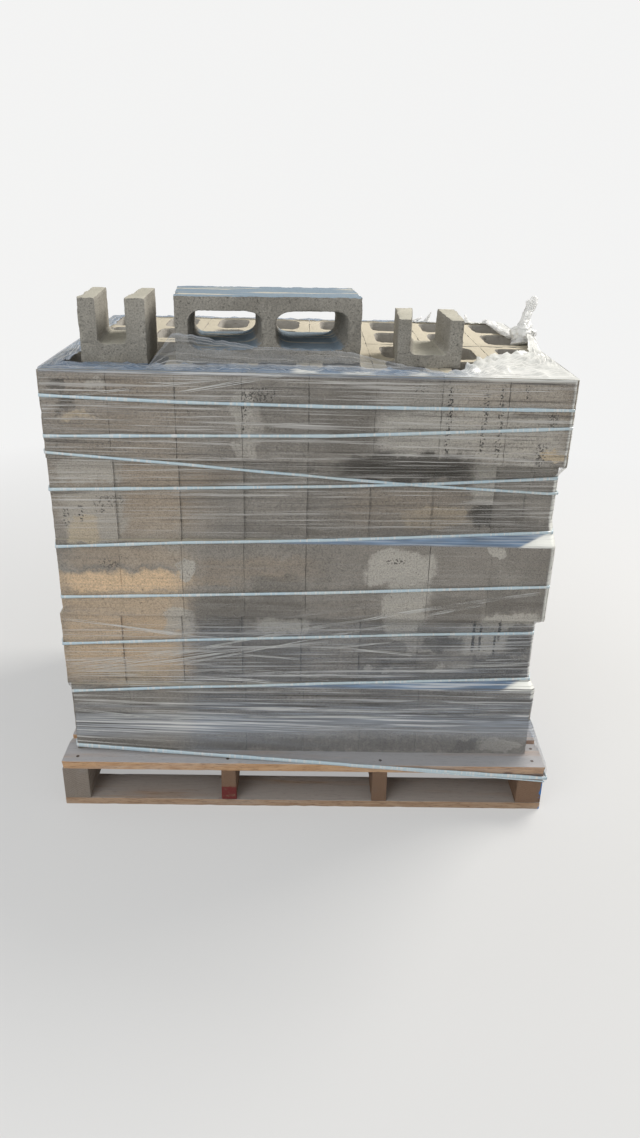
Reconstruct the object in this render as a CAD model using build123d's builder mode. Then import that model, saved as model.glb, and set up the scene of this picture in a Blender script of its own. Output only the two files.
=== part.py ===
import math
import os

from build123d import *

os.makedirs("parts", exist_ok=True)

# Hollow concrete block
BLOCK_L = 390.0
BLOCK_W = 140.0
BLOCK_H = 190.0
SHELL = 30.0
END_WEB = 28.0
CENTRE_WEB = 30.0
CORE_CORNER = 22.0
CORE_TAPER = 1.0
CORE_L = (BLOCK_L - 2 * END_WEB - CENTRE_WEB) / 2
CORE_W = BLOCK_W - 2 * SHELL
CORE_PITCH = CORE_L + CENTRE_WEB

# Pallet
PALLET_W = 1200.0
PALLET_D = 890.0
BOARD_W = 98.0
TOP_T = 22.0
BOTTOM_T = 19.0
STRINGER_H = 89.0
OUTER_STRINGER_W = 64.0
INNER_STRINGER_W = 38.0
OUTER_STRINGER_X = (PALLET_W - OUTER_STRINGER_W) / 2
INNER_STRINGER_X = 189.0
TOP_BOARDS = 8
BOTTOM_BOARDS = 5
DECK_Z = BOTTOM_T + STRINGER_H + TOP_T

# Load
COLUMNS = 8
SIDE_GAP = 1.5
END_GAP = 5.0
COURSES = 5
LOAD_X = -5.5
FRONT_OVERHANG = 54.0
COURSE_SHIFT_X = [0.0, -9.0, 0.0, 0.0, 0.0]
COURSE_SHIFT_Y = [0.0, 24.0, 0.0, 29.0, 0.0]
# Each block of a stepped course stands this much further back than its left neighbour.
COURSE_STEP = [0.0, 5.5, 0.0, 7.0, 0.0]
LOAD_W = COLUMNS * BLOCK_W + (COLUMNS - 1) * SIDE_GAP
LOAD_D = 2 * BLOCK_L + END_GAP
LOAD_FRONT = -PALLET_D / 2 + FRONT_OVERHANG
LOAD_Y = LOAD_FRONT + LOAD_D / 2
TOP_Z = DECK_Z + COURSES * BLOCK_H

# Loose pieces on the top course
LOOSE_X = -108.0
LOOSE_Y = LOAD_FRONT + 208.0
LOOSE_TURN = 3.1
TALL_U_X = -424.0
TALL_U_Y = LOAD_FRONT + 164.0
TALL_U_TURN = 2.5
TALL_U_H = 137.0
TALL_U_BASE = 43.0
TALL_U_LEFT_ARM = 36.0
TALL_U_RIGHT_ARM = 40.0
LOW_U_X = 249.0
LOW_U_Y = LOAD_FRONT + 181.0
LOW_U_TURN = 6.8
LOW_U_H = 102.0

# Stretch film
FILM_T = 1.0
CLEAR = 0.4
DRAPE = 0.8
SKIRT_Z = DECK_Z + 105.0
SKIRT_END_Z = DECK_Z + 1.5
HEM_X = 115.0
HEM_Z = 100.0
CORD_R = 4.5
CORD_OUT = FILM_T + 3.8
CORD_AT_BEND = 1.6
FOLD_FRONT = 60.0
FOLD_LEFT = 40.0
FOLD_BACK = 25.0
FOLD_RIGHT = 26.0
LIP_Y = LOAD_FRONT + 56.0
TAIL_H = 110.0

FILM_LEFT = LOAD_X + min(COURSE_SHIFT_X) - LOAD_W / 2 - CLEAR
FILM_RIGHT = LOAD_X + LOAD_W / 2 + CLEAR
FILM_FRONT = LOAD_FRONT - CLEAR
FILM_BACK = LOAD_FRONT + LOAD_D + CLEAR
HEM_RIGHT = max(PALLET_W / 2 + CLEAR, FILM_RIGHT)
HEM_BACK = max(PALLET_D / 2 + CLEAR, FILM_BACK)
HEM_FRONT = min(-PALLET_D / 2 - CLEAR, FILM_FRONT)


def save(builder, name):
    """Name a finished piece and write it out."""
    builder.part.label = name
    export_step(builder.part, f"parts/{name}.step")


def pallet_piece(name, size, centre):
    """A sawn piece of wood, given by its size and the middle of its underside."""
    with BuildPart() as wood:
        with Locations(centre):
            Box(*size, align=(Align.CENTER, Align.CENTER, Align.MIN))
    save(wood, name)


def spread(count, width, total):
    """Centres of equal boards laid edge to edge of a total length."""
    pitch = (total - width) / (count - 1)
    return [pitch * i - (total - width) / 2 for i in range(count)]


def make_pallet():
    """Four runners between a close upper deck and an open lower deck."""
    runners = [("stringer_outer_left", -OUTER_STRINGER_X, OUTER_STRINGER_W),
               ("stringer_inner_left", -INNER_STRINGER_X, INNER_STRINGER_W),
               ("stringer_inner_right", INNER_STRINGER_X, INNER_STRINGER_W),
               ("stringer_outer_right", OUTER_STRINGER_X, OUTER_STRINGER_W)]
    for name, x, width in runners:
        pallet_piece(name, (width, PALLET_D, STRINGER_H), (x, 0, BOTTOM_T))
    for i, y in enumerate(spread(TOP_BOARDS, BOARD_W, PALLET_D)):
        pallet_piece(f"top_board_{i + 1}", (PALLET_W, BOARD_W, TOP_T), (0, y, DECK_Z - TOP_T))
    for i, y in enumerate(spread(BOTTOM_BOARDS, BOARD_W, PALLET_D)):
        pallet_piece(f"bottom_board_{i + 1}", (PALLET_W, BOARD_W, BOTTOM_T), (0, y, 0))


def core_outline(steps):
    """Corners of a core's outline, each corner of the core rounded in a few straight steps."""
    points = []
    for corner, (side_x, side_y) in enumerate(((1, 1), (-1, 1), (-1, -1), (1, -1))):
        for step in range(steps + 1):
            angle = math.radians(90 * (corner + step / steps))
            points.append((side_x * (CORE_W / 2 - CORE_CORNER) + CORE_CORNER * math.cos(angle),
                           side_y * (CORE_L / 2 - CORE_CORNER) + CORE_CORNER * math.sin(angle)))
    return points


def make_stacked_block(steps, taper):
    """Standing block of a course. Its cores are widest at the top."""
    with BuildPart() as block:
        with BuildSketch():
            Rectangle(BLOCK_W, BLOCK_L)
        extrude(amount=BLOCK_H)
        with BuildSketch(Plane.XY.offset(BLOCK_H)):
            with Locations((0, -CORE_PITCH / 2), (0, CORE_PITCH / 2)):
                Polygon(*core_outline(steps))
        extrude(amount=-BLOCK_H, taper=taper, mode=Mode.SUBTRACT)
    return block.part


def make_round_block():
    """Block with fully round core corners, for the one that is seen from all sides."""
    with BuildPart() as block:
        with BuildSketch():
            Rectangle(BLOCK_W, BLOCK_L)
        extrude(amount=BLOCK_H)
        with BuildSketch(Plane.XY.offset(BLOCK_H)):
            with Locations((0, -CORE_PITCH / 2), (0, CORE_PITCH / 2)):
                RectangleRounded(CORE_W, CORE_L, CORE_CORNER)
        extrude(amount=-BLOCK_H, taper=CORE_TAPER, mode=Mode.SUBTRACT)
    return block.part


def make_course(level, block):
    """One course: eight blocks side by side, each a step further back than the last, two end to end."""
    with BuildPart() as course:
        for column in range(COLUMNS):
            place = column - (COLUMNS - 1) / 2
            x = LOAD_X + COURSE_SHIFT_X[level] + place * (BLOCK_W + SIDE_GAP)
            y = LOAD_Y + COURSE_SHIFT_Y[level] + place * COURSE_STEP[level]
            with Locations((x, y, DECK_Z + level * BLOCK_H)):
                with GridLocations(BLOCK_W, BLOCK_L + END_GAP, 1, 2):
                    add(block)
    save(course, f"course_{level + 1}")


def make_loose_block(block):
    """Whole block on its long face, cores to the front and back."""
    with BuildPart() as loose:
        with Locations(Location((LOOSE_X, LOOSE_Y, TOP_Z + BLOCK_W / 2), (0, 0, LOOSE_TURN))):
            add(block.moved(Location((0, -BLOCK_H / 2, 0), (-90, 0, 90))))
    save(loose, "loose_block")


def make_u_block(name, place, turn, height, base, left_arm, right_arm):
    """Block cut to a U, slot upwards, open to the front and back."""
    slot_left = -BLOCK_W / 2 + left_arm
    slot_right = BLOCK_W / 2 - right_arm
    with BuildPart() as piece:
        with BuildSketch(Plane(place, x_dir=Vector(1, 0, 0).rotate(Axis.Z, turn),
                               z_dir=Vector(0, -1, 0).rotate(Axis.Z, turn))):
            with BuildLine():
                Polyline((-BLOCK_W / 2, 0), (BLOCK_W / 2, 0), (BLOCK_W / 2, height),
                         (slot_right, height), (slot_right, base), (slot_left, base),
                         (slot_left, height), (-BLOCK_W / 2, height), close=True)
            make_face()
        extrude(amount=BLOCK_H / 2, both=True)
    save(piece, name)


def film_face(level, x, back):
    """Where the film's inner face stands over a course, at a place along its front or its back."""
    slope = COURSE_STEP[level] / (BLOCK_W + SIDE_GAP)
    corner = slope * BLOCK_W / 2
    edge = FILM_BACK + corner if back else FILM_FRONT - corner
    return edge + COURSE_SHIFT_Y[level] + slope * (x - LOAD_X)


def film_rows():
    """Heights at the front and back, and the course, where the film bends at each joint."""
    rows = [(SKIRT_Z, SKIRT_Z, 0)]
    for joint in range(1, COURSES):
        z = DECK_Z + joint * BLOCK_H
        fall = DRAPE * max(abs(film_face(joint, x, False) - film_face(joint - 1, x, False))
                           for x in (FILM_LEFT, FILM_RIGHT))
        ledge = (z + CLEAR, z + CLEAR + fall)
        overhang = (z - CLEAR - fall, z - CLEAR)
        steps_back = COURSE_SHIFT_Y[joint] > COURSE_SHIFT_Y[joint - 1]
        front, back = (ledge, overhang) if steps_back else (overhang, ledge)
        rows.append((front[0], back[0], joint - 1))
        rows.append((front[1], back[1], joint))
    rows.append((TOP_Z + CLEAR, TOP_Z + CLEAR, COURSES - 1))
    return rows


def film_ring(row, out):
    """Closed outline of the film at one row, at a distance outside its inner face."""
    front_z, back_z, level = row
    left, right = FILM_LEFT - out, FILM_RIGHT + out
    return Wire.make_polygon([(left, film_face(level, left, False) - out, front_z),
                              (right, film_face(level, right, False) - out, front_z),
                              (right, film_face(level, right, True) + out, back_z),
                              (left, film_face(level, left, True) + out, back_z)])


def skirt_rings(out):
    """The film leaves the lowest course and opens to the edge of the deck on the right."""
    left, front, back = FILM_LEFT - out, FILM_FRONT - out, FILM_BACK + out
    rings = []
    for right_x, front_y, back_y, z in ((FILM_RIGHT + out, front, back, SKIRT_Z),
                                        (HEM_RIGHT + out, HEM_FRONT - out, HEM_BACK + out, SKIRT_END_Z)):
        rings.append(Wire.make_polygon([(left, front, z), (HEM_X, front_y, z), (right_x, front_y, z),
                                        (right_x, back_y, z), (HEM_X, back_y, z), (left, back, z)]))
    return rings


def film_side(rows, x, z, back):
    """Where the inner face of the film stands at a place and height, at the front or at the back."""
    heights = [row[1 if back else 0] for row in rows]
    places = [film_face(row[2], x, back) for row in rows]
    if z <= heights[0]:
        return places[0]
    for i in range(len(rows) - 1):
        if z <= heights[i + 1]:
            part = (z - heights[i]) / (heights[i + 1] - heights[i])
            return places[i] + part * (places[i + 1] - places[i])
    return places[-1]


def face_run(rows, start_x, start_z, end_x, end_z, back):
    """Points of a cord across the front or back, bent wherever the film below it bends."""
    low, high = sorted((start_z, end_z))
    heights = [row[1 if back else 0] for row in rows]
    middles = [(a + b) / 2 for a, b in zip(heights, heights[1:])]
    bends = [height for height in heights + middles if low < height < high]
    stops = sorted([low, high] + bends, reverse=start_z > end_z)
    out = CORD_OUT if back else -CORD_OUT
    points = []
    for z in stops:
        part = (z - start_z) / (end_z - start_z) if end_z != start_z else 0
        x = start_x + part * (end_x - start_x)
        room = 1 if z in (start_z, end_z) else CORD_AT_BEND
        points.append(Vector(x, film_side(rows, x, z, back) + out * room, z))
    return points


def cord_turn(rows, front_left, front_right, back_right, back_left):
    """One turn of a cord from its height at each of the four corners, ending at the left back corner."""
    left = FILM_LEFT - CORD_OUT
    right = FILM_RIGHT + CORD_OUT
    return (face_run(rows, left, front_left, right, front_right, False)
            + face_run(rows, right, back_right, left, back_left, True))


def cord(points):
    """A rolled film edge along straight legs, each run a little past its bend."""
    for start, end in zip(points, points[1:]):
        leg = end - start
        if leg.length < CORD_R:
            continue
        step = leg.normalized() * (CORD_R * 0.8)
        with BuildSketch(Plane(start - step, z_dir=leg)) as section:
            RegularPolygon(CORD_R, 6)
        extrude(section.sketch, amount=leg.length + 2 * step.length)


def helix_heights():
    """Corner heights of the rising turns: the front ends are set, the rest climb evenly between them."""
    fronts = [(302, 351), (420, 478), (557, 600), (668, 730), (808, 850), (940, 976), (1025, 1015)]
    side_share = LOAD_D / (2 * LOAD_D + LOAD_W)
    back_share = (LOAD_D + LOAD_W) / (2 * LOAD_D + LOAD_W)
    turns = []
    for (left, right), (next_left, _) in zip(fronts, fronts[1:]):
        climb = next_left - right
        turns.append((left, right, right + climb * side_share, right + climb * back_share))
    turns.append((*fronts[-1], 1010, 1020))
    return turns


def make_wrap():
    """Clear film round the load with its folded top, its gathered tail and its rolled edges."""
    rows = film_rows()
    with BuildPart() as wrap:
        add(Solid.make_loft([film_ring(row, FILM_T) for row in rows], ruled=True))
        add(Solid.make_loft(skirt_rings(FILM_T), ruled=True))
        add(Solid.make_loft([film_ring(row, 0) for row in rows], ruled=True), mode=Mode.SUBTRACT)
        add(Solid.make_loft(skirt_rings(0), ruled=True), mode=Mode.SUBTRACT)

        # Hem over the edges of the deck
        for y in (HEM_FRONT, HEM_BACK + FILM_T):
            with BuildSketch(Plane((0, y, 0), x_dir=(1, 0, 0), z_dir=(0, -1, 0))):
                with BuildLine():
                    Polyline((HEM_X, SKIRT_END_Z), (HEM_RIGHT + FILM_T, SKIRT_END_Z),
                             (HEM_RIGHT + FILM_T, HEM_Z), close=True)
                make_face()
            extrude(amount=FILM_T)
        with Locations((HEM_RIGHT + FILM_T / 2, (HEM_FRONT + HEM_BACK) / 2, (SKIRT_END_Z + HEM_Z) / 2)):
            Box(FILM_T, HEM_BACK - HEM_FRONT + 2 * FILM_T, SKIRT_END_Z - HEM_Z)

        # Fold over the top edge, widest at the right front corner
        left, right = FILM_LEFT - FILM_T, FILM_RIGHT + FILM_T
        front, back = FILM_FRONT - FILM_T, FILM_BACK + FILM_T
        inner_left, inner_right = FILM_LEFT + FOLD_LEFT, FILM_RIGHT - FOLD_RIGHT
        inner_front, inner_back = FILM_FRONT + FOLD_FRONT, FILM_BACK - FOLD_BACK
        with BuildSketch(Plane.XY.offset(TOP_Z + CLEAR)):
            with BuildLine():
                Polyline((left, front), (right, front), (right, back), (left, back), close=True)
            make_face()
            with BuildLine():
                Polyline((inner_left, inner_front), (FILM_RIGHT - 245, inner_front),
                         (FILM_RIGHT - 120, FILM_FRONT + 255), (FILM_RIGHT - 50, FILM_FRONT + 265),
                         (inner_right, FILM_FRONT + 330), (inner_right, inner_back),
                         (inner_left, inner_back), close=True)
            make_face(mode=Mode.SUBTRACT)
        extrude(amount=FILM_T)

        # Upright lip of film in front of the loose block
        along = Vector(1, 0, 0)
        lean = Vector(0, 34, 64).normalized()
        with BuildSketch(Plane((0, LIP_Y, TOP_Z + CLEAR), x_dir=along, z_dir=along.cross(lean))):
            with BuildLine():
                Polyline((-300, 0), (300, 0), (185, 14), (83, 34), (-127, 46), (-300, 72), close=True)
            make_face()
        extrude(amount=FILM_T)

        # Gathered tail
        foot = Vector(FILM_RIGHT - 29, FILM_FRONT + 420, TOP_Z + CLEAR)
        waist = foot + Vector(12, 33, TAIL_H * 0.55)
        tip = foot + Vector(39, 72, TAIL_H)
        with BuildSketch(Plane(foot, x_dir=(1, 0, 0), z_dir=(0, 0, 1))):
            Ellipse(27, 24)
        with BuildSketch(Plane(waist, x_dir=(1, 0, 0), z_dir=(0, 0, 1))):
            Ellipse(13, 11)
        with BuildSketch(Plane(tip, x_dir=(1, 0, 0), z_dir=(0, 0, 1))):
            Ellipse(8, 7)
        loft()

        # Rolled edges
        helix = []
        for turn in helix_heights():
            helix += cord_turn(rows, *turn)
        cord(helix)
        low_turn = cord_turn(rows, 901, 812, 830, 868)
        cord(low_turn + low_turn[:1])
        front = HEM_FRONT - CORD_OUT
        back = HEM_BACK + CORD_OUT
        right = HEM_RIGHT + CORD_OUT
        left = FILM_LEFT - CORD_OUT
        knee = SKIRT_END_Z + CORD_R
        hem = [Vector(left, FILM_FRONT - CORD_OUT, 145), Vector(HEM_X, front, knee),
               Vector(right, front, HEM_Z), Vector(right, back, HEM_Z),
               Vector(HEM_X, back, knee), Vector(left, FILM_BACK + CORD_OUT, 145)]
        cord(hem + hem[:1])
    save(wrap, "stretch_wrap")


make_pallet()
hidden_block = make_stacked_block(1, 0)
top_block = make_stacked_block(2, CORE_TAPER)
for course_level in range(COURSES - 1):
    make_course(course_level, hidden_block)
make_course(COURSES - 1, top_block)
make_loose_block(make_round_block())
make_u_block("u_block_left", (TALL_U_X, TALL_U_Y, TOP_Z), TALL_U_TURN, TALL_U_H, TALL_U_BASE,
             TALL_U_LEFT_ARM, TALL_U_RIGHT_ARM)
make_u_block("u_block_right", (LOW_U_X, LOW_U_Y, TOP_Z), LOW_U_TURN, LOW_U_H, END_WEB, SHELL, SHELL)
make_wrap()
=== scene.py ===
import math

import bmesh
import bpy
from mathutils import Euler, Matrix, Vector, noise


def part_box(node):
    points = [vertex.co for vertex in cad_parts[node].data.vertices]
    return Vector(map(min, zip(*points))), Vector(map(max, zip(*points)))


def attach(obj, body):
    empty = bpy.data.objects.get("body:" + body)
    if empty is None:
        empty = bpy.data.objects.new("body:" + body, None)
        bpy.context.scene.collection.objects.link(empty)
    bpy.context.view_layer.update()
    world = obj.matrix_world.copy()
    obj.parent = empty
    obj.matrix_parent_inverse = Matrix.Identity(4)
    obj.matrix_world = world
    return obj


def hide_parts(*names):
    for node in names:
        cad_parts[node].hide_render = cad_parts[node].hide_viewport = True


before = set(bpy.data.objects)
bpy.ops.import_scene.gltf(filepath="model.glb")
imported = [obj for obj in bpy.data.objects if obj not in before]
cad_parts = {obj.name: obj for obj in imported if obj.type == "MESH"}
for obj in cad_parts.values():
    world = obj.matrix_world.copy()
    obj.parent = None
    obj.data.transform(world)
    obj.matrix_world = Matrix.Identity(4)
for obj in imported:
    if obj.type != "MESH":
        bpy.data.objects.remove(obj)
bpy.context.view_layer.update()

# The camera stands a little above head height in front of the load, as the
# photograph was taken, and looks down on the top course.
camera_data = bpy.data.cameras.new("camera")
camera_data.sensor_width = 36
camera_data.lens = 858.36 / 1138 * 36
camera = bpy.data.objects.new("camera", camera_data)
bpy.context.scene.collection.objects.link(camera)
camera.matrix_world = (Matrix.Translation((-0.01065, -2.18627, 1.44539))
                       @ Euler((math.radians(90 - 24.23), 0, math.radians(-1.2))).to_matrix().to_4x4()
                       @ Matrix.Rotation(math.radians(1.45), 4, "Z"))
bpy.context.scene.camera = camera


# Blocks of the load: dense aggregate concrete pressed in a steel mould and steam cured,
# so the faces are grainy and pitted, stained in the yard, and no two alike. Eighty of
# them stand on end in five courses of eight across and two deep.
def node_maker(tree):
    """Adds nodes to a tree and joins them by socket name."""
    def add(kind, inputs=None, **settings):
        node = tree.nodes.new(kind)
        for key, value in settings.items():
            setattr(node, key, value)
        for key, value in (inputs or {}).items():
            socket = node.inputs[key]
            if isinstance(value, bpy.types.NodeSocket):
                tree.links.new(value, socket)
            else:
                socket.default_value = value
        return node
    return add


def new_material(name):
    """A material with its tree, its node maker and its Principled shader."""
    material = bpy.data.materials.new(name)
    material.use_nodes = True
    tree = material.node_tree
    return material, tree, node_maker(tree), tree.nodes["Principled BSDF"]


def new_piece(name, data):
    """An object over a mesh or a lamp, in the scene and untransformed."""
    piece = bpy.data.objects.new(name, data)
    bpy.context.scene.collection.objects.link(piece)
    return piece


def settled(piece):
    """A piece's mesh with its modifiers worked out, the piece left without them."""
    result = bpy.data.meshes.new_from_object(piece.evaluated_get(bpy.context.evaluated_depsgraph_get()))
    piece.modifiers.clear()
    return result


def colour_ramp(add, value, stops):
    """A colour ramp fed by a value, from (place, colour) stops."""
    ramp = add("ShaderNodeValToRGB", {"Fac": value})
    while len(ramp.color_ramp.elements) < len(stops):
        ramp.color_ramp.elements.new(0.5)
    for element, (place, colour) in zip(ramp.color_ramp.elements, stops):
        element.position = place
        element.color = (*colour, 1)
    return ramp.outputs["Color"]


def mix_colour(add, factor, first, second, blend="MIX"):
    """A colour mix node over colours and sockets."""
    mix = add("ShaderNodeMix", data_type="RGBA", blend_type=blend)
    for index, value in ((0, factor), (6, first), (7, second)):
        if isinstance(value, bpy.types.NodeSocket):
            mix.id_data.links.new(value, mix.inputs[index])
        else:
            mix.inputs[index].default_value = (*value, 1) if isinstance(value, tuple) else value
    return mix.outputs[2]


def math_node(add, kind, *values, clamp=False):
    """A math node over numbers and sockets."""
    node = add("ShaderNodeMath", operation=kind, use_clamp=clamp)
    for index, value in enumerate(values):
        if isinstance(value, bpy.types.NodeSocket):
            node.id_data.links.new(value, node.inputs[index])
        else:
            node.inputs[index].default_value = value
    return node.outputs[0]


def times(add, *values, clamp=False):
    """A product of two numbers or sockets."""
    return math_node(add, "MULTIPLY", *values, clamp=clamp)


def plus(add, *values, clamp=False):
    """A sum of two numbers or sockets."""
    return math_node(add, "ADD", *values, clamp=clamp)


def minus(add, *values):
    """One number or socket less another."""
    return math_node(add, "SUBTRACT", *values)


def most(add, first, second):
    """The larger of two numbers or sockets."""
    return math_node(add, "MAXIMUM", first, second)


def vector_node(add, kind, first, second):
    """A vector sum, difference or product of two vectors or sockets."""
    return add("ShaderNodeVectorMath", {0: first, 1: second}, operation=kind).outputs[0]


def parts_of(add, vector):
    """The X, Y and Z of a vector socket."""
    return add("ShaderNodeSeparateXYZ", {0: vector}).outputs


def noise_node(add, place, scale, detail=2.0, roughness=0.5, out=0):
    """Cloud noise at a place: its value, or its colour."""
    return add("ShaderNodeTexNoise", {"Vector": place, "Scale": scale, "Detail": detail,
                                      "Roughness": roughness}).outputs[out]


def object_place(add):
    """The place on the piece that is shaded, in metres."""
    return add("ShaderNodeTexCoord").outputs["Object"]


def mark_of(add, name):
    """The value that a piece's mesh carries under a name."""
    return add("ShaderNodeAttribute", attribute_name=name).outputs["Fac"]


def ramp_between(add, value, low, high):
    """0 below low, 1 above high, smooth between, or the other way round."""
    node = add("ShaderNodeMapRange", {"Value": value, "From Min": low, "From Max": high})
    node.interpolation_type = "SMOOTHSTEP"
    return node.outputs[0]


def finish_surface(add, shader, colour, roughness, shine, height, strength, depth):
    """Gives a shader its colour and its bump, and how rough and how shiny it is."""
    tree = shader.id_data
    tree.links.new(colour, shader.inputs["Base Color"])
    shader.inputs["Roughness"].default_value = roughness
    shader.inputs["Specular IOR Level"].default_value = shine
    bump = add("ShaderNodeBump", {"Height": height, "Strength": strength, "Distance": depth})
    tree.links.new(bump.outputs[0], shader.inputs["Normal"])


def new_group(name, takes, gives):
    """An empty shader node group with named inputs and outputs."""
    tree = bpy.data.node_groups.new(name, "ShaderNodeTree")
    for title, kind, value in takes:
        socket = tree.interface.new_socket(title, in_out="INPUT", socket_type="NodeSocket" + kind)
        socket.default_value = value
    for title, kind in gives:
        tree.interface.new_socket(title, in_out="OUTPUT", socket_type="NodeSocket" + kind)
    add = node_maker(tree)
    return tree, add, add("NodeGroupInput").outputs, add("NodeGroupOutput").inputs


def grain_of_concrete():
    """Pressed concrete: sand grains, blow holes, slow mottling, lime bloom and the bump of them all."""
    tree, add, given, out = new_group("concrete_grain", [("Pit Share", "Float", 0.38)],
                                      [(name, "Float") for name in ("Grain", "Pits", "Mottle", "Bloom",
                                                                    "Height")])
    spot = object_place(add)
    grain = noise_node(add, spot, 300, 3, 0.7)
    stones = add("ShaderNodeTexVoronoi", {"Vector": spot, "Scale": 150}).outputs["Distance"]
    holes = noise_node(add, spot, 150, 2, 0.6)
    mottle = noise_node(add, spot, 8, 6, 0.62)
    bloom = add("ShaderNodeTexNoise", {"Vector": spot, "Scale": 5, "Detail": 6, "Roughness": 0.66,
                                       "Distortion": 0.5}).outputs[0]
    pits = times(add, minus(add, given["Pit Share"], holes), 9.0, clamp=True)
    height = minus(add, times(add, grain, 0.6), pits)
    height = minus(add, height, times(add, stones, 0.4))
    for name, value in (("Grain", grain), ("Pits", pits), ("Mottle", mottle),
                        ("Bloom", ramp_between(add, bloom, 0.52, 0.66)), ("Height", height)):
        tree.links.new(value, out[name])
    return tree


def ragged_stain():
    """A stain with a soft edge on an upright face, about a middle, from half its width and height."""
    tree, add, given, out = new_group("ragged_stain", [("Where", "Vector", (0, 0, 0)),
                                                       ("Middle", "Vector", (0, 0, 0)),
                                                       ("Half Width", "Float", 0.05),
                                                       ("Half Height", "Float", 0.05),
                                                       ("Front", "Float", 1.0), ("Edge", "Float", 0.12)],
                                      [("Mask", "Float")])
    away = vector_node(add, "SUBTRACT", given["Where"], given["Middle"])
    parts = parts_of(add, away)
    across = math_node(add, "DIVIDE", math_node(add, "ABSOLUTE", parts[0]), given["Half Width"])
    along = math_node(add, "DIVIDE", math_node(add, "ABSOLUTE", parts[2]), given["Half Height"])
    far = math_node(add, "POWER", plus(add, math_node(add, "POWER", across, 4.0),
                                       math_node(add, "POWER", along, 4.0)), 0.25)
    faded = ramp_between(add, far, plus(add, 1.0, given["Edge"]), minus(add, 1.0, given["Edge"]))
    mask = times(add, faded, given["Front"])
    tree.links.new(mask, out["Mask"])
    return tree


concrete_grain = grain_of_concrete()
stain_shape = ragged_stain()

PALE_STAINS = [(0.344, 0.956, 0.204, 0.054, 0.75), (0.350, 1.042, 0.185, 0.030, 0.35),
               (0.456, 0.840, 0.092, 0.055, 0.85), (0.532, 0.766, 0.026, 0.037, 0.75),
               (-0.151, 1.014, 0.022, 0.040, 0.6), (-0.134, 0.974, 0.030, 0.043, 0.5),
               (-0.136, 0.918, 0.023, 0.021, 0.55), (-0.481, 0.859, 0.070, 0.031, 0.65),
               (-0.483, 0.755, 0.070, 0.064, 0.55), (-0.280, 0.630, 0.019, 0.031, 0.85),
               (0.208, 0.642, 0.078, 0.040, 0.85), (0.230, 0.524, 0.050, 0.083, 0.8),
               (-0.299, 0.491, 0.041, 0.032, 0.75), (-0.054, 0.477, 0.066, 0.023, 0.8),
               (0.278, 0.424, 0.042, 0.028, 0.55), (0.487, 0.501, 0.072, 0.028, 0.85),
               (0.423, 0.438, 0.063, 0.040, 0.65), (0.155, 0.351, 0.011, 0.009, 0.8),
               (0.205, 0.350, 0.011, 0.007, 0.7), (0.319, 0.352, 0.014, 0.010, 0.8),
               (0.377, 0.349, 0.015, 0.007, 0.7), (0.491, 0.155, 0.053, 0.017, 0.9),
               (0.435, 0.682, 0.017, 0.012, 0.85), (-0.455, 1.047, 0.021, 0.016, 0.6)]
CREAM_STAINS = [(0.528, 0.914, 0.028, 0.012, 1.0), (-0.510, 0.724, 0.038, 0.030, 0.7),
                (-0.424, 0.340, 0.046, 0.021, 0.35), (0.292, 0.753, 0.076, 0.025, 0.35),
                (-0.497, 0.981, 0.034, 0.010, 0.6)]
PEACH_STAINS = [(-0.424, 0.597, 0.141, 0.026, 1.0), (-0.436, 0.540, 0.150, 0.040, 0.55),
                (-0.436, 0.430, 0.157, 0.090, 0.72), (-0.400, 0.800, 0.165, 0.095, 0.20),
                (0.440, 1.000, 0.130, 0.085, 0.20), (-0.420, 0.660, 0.140, 0.025, 0.25)]
TAN_STAINS = [(-0.406, 0.991, 0.150, 0.092, 0.35), (-0.347, 0.788, 0.064, 0.089, 0.25),
              (-0.211, 0.853, 0.061, 0.026, 0.35), (-0.131, 0.638, 0.139, 0.026, 0.35),
              (-0.223, 0.604, 0.057, 0.013, 0.4), (0.223, 0.776, 0.143, 0.050, 0.3)]
DAMP_STAINS = [(-0.530, 1.044, 0.022, 0.014, 0.75), (-0.511, 1.010, 0.020, 0.012, 0.7),
               (0.216, 0.875, 0.147, 0.038, 1.0), (0.081, 0.988, 0.058, 0.088, 0.4),
               (-0.045, 0.983, 0.074, 0.086, 0.28), (0.436, 0.753, 0.067, 0.030, 1.0),
               (0.509, 0.738, 0.025, 0.013, 0.6), (-0.136, 0.530, 0.142, 0.035, 0.5),
               (-0.209, 0.476, 0.054, 0.025, 0.55), (-0.066, 0.592, 0.063, 0.026, 0.3),
               (0.345, 0.542, 0.066, 0.039, 0.4), (0.484, 0.563, 0.073, 0.026, 0.3),
               (0.333, 0.427, 0.048, 0.022, 0.65), (0.518, 0.422, 0.029, 0.027, 0.7),
               (0.479, 0.366, 0.070, 0.023, 0.5), (0.222, 0.377, 0.047, 0.014, 0.45),
               (-0.148, 0.384, 0.138, 0.048, 0.3), (-0.286, 0.277, 0.277, 0.028, 0.25),
               (0.290, 0.288, 0.255, 0.032, 0.3), (0.411, 0.157, 0.032, 0.014, 0.6),
               (0.0, 0.152, 0.60, 0.020, 0.35)]
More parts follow.
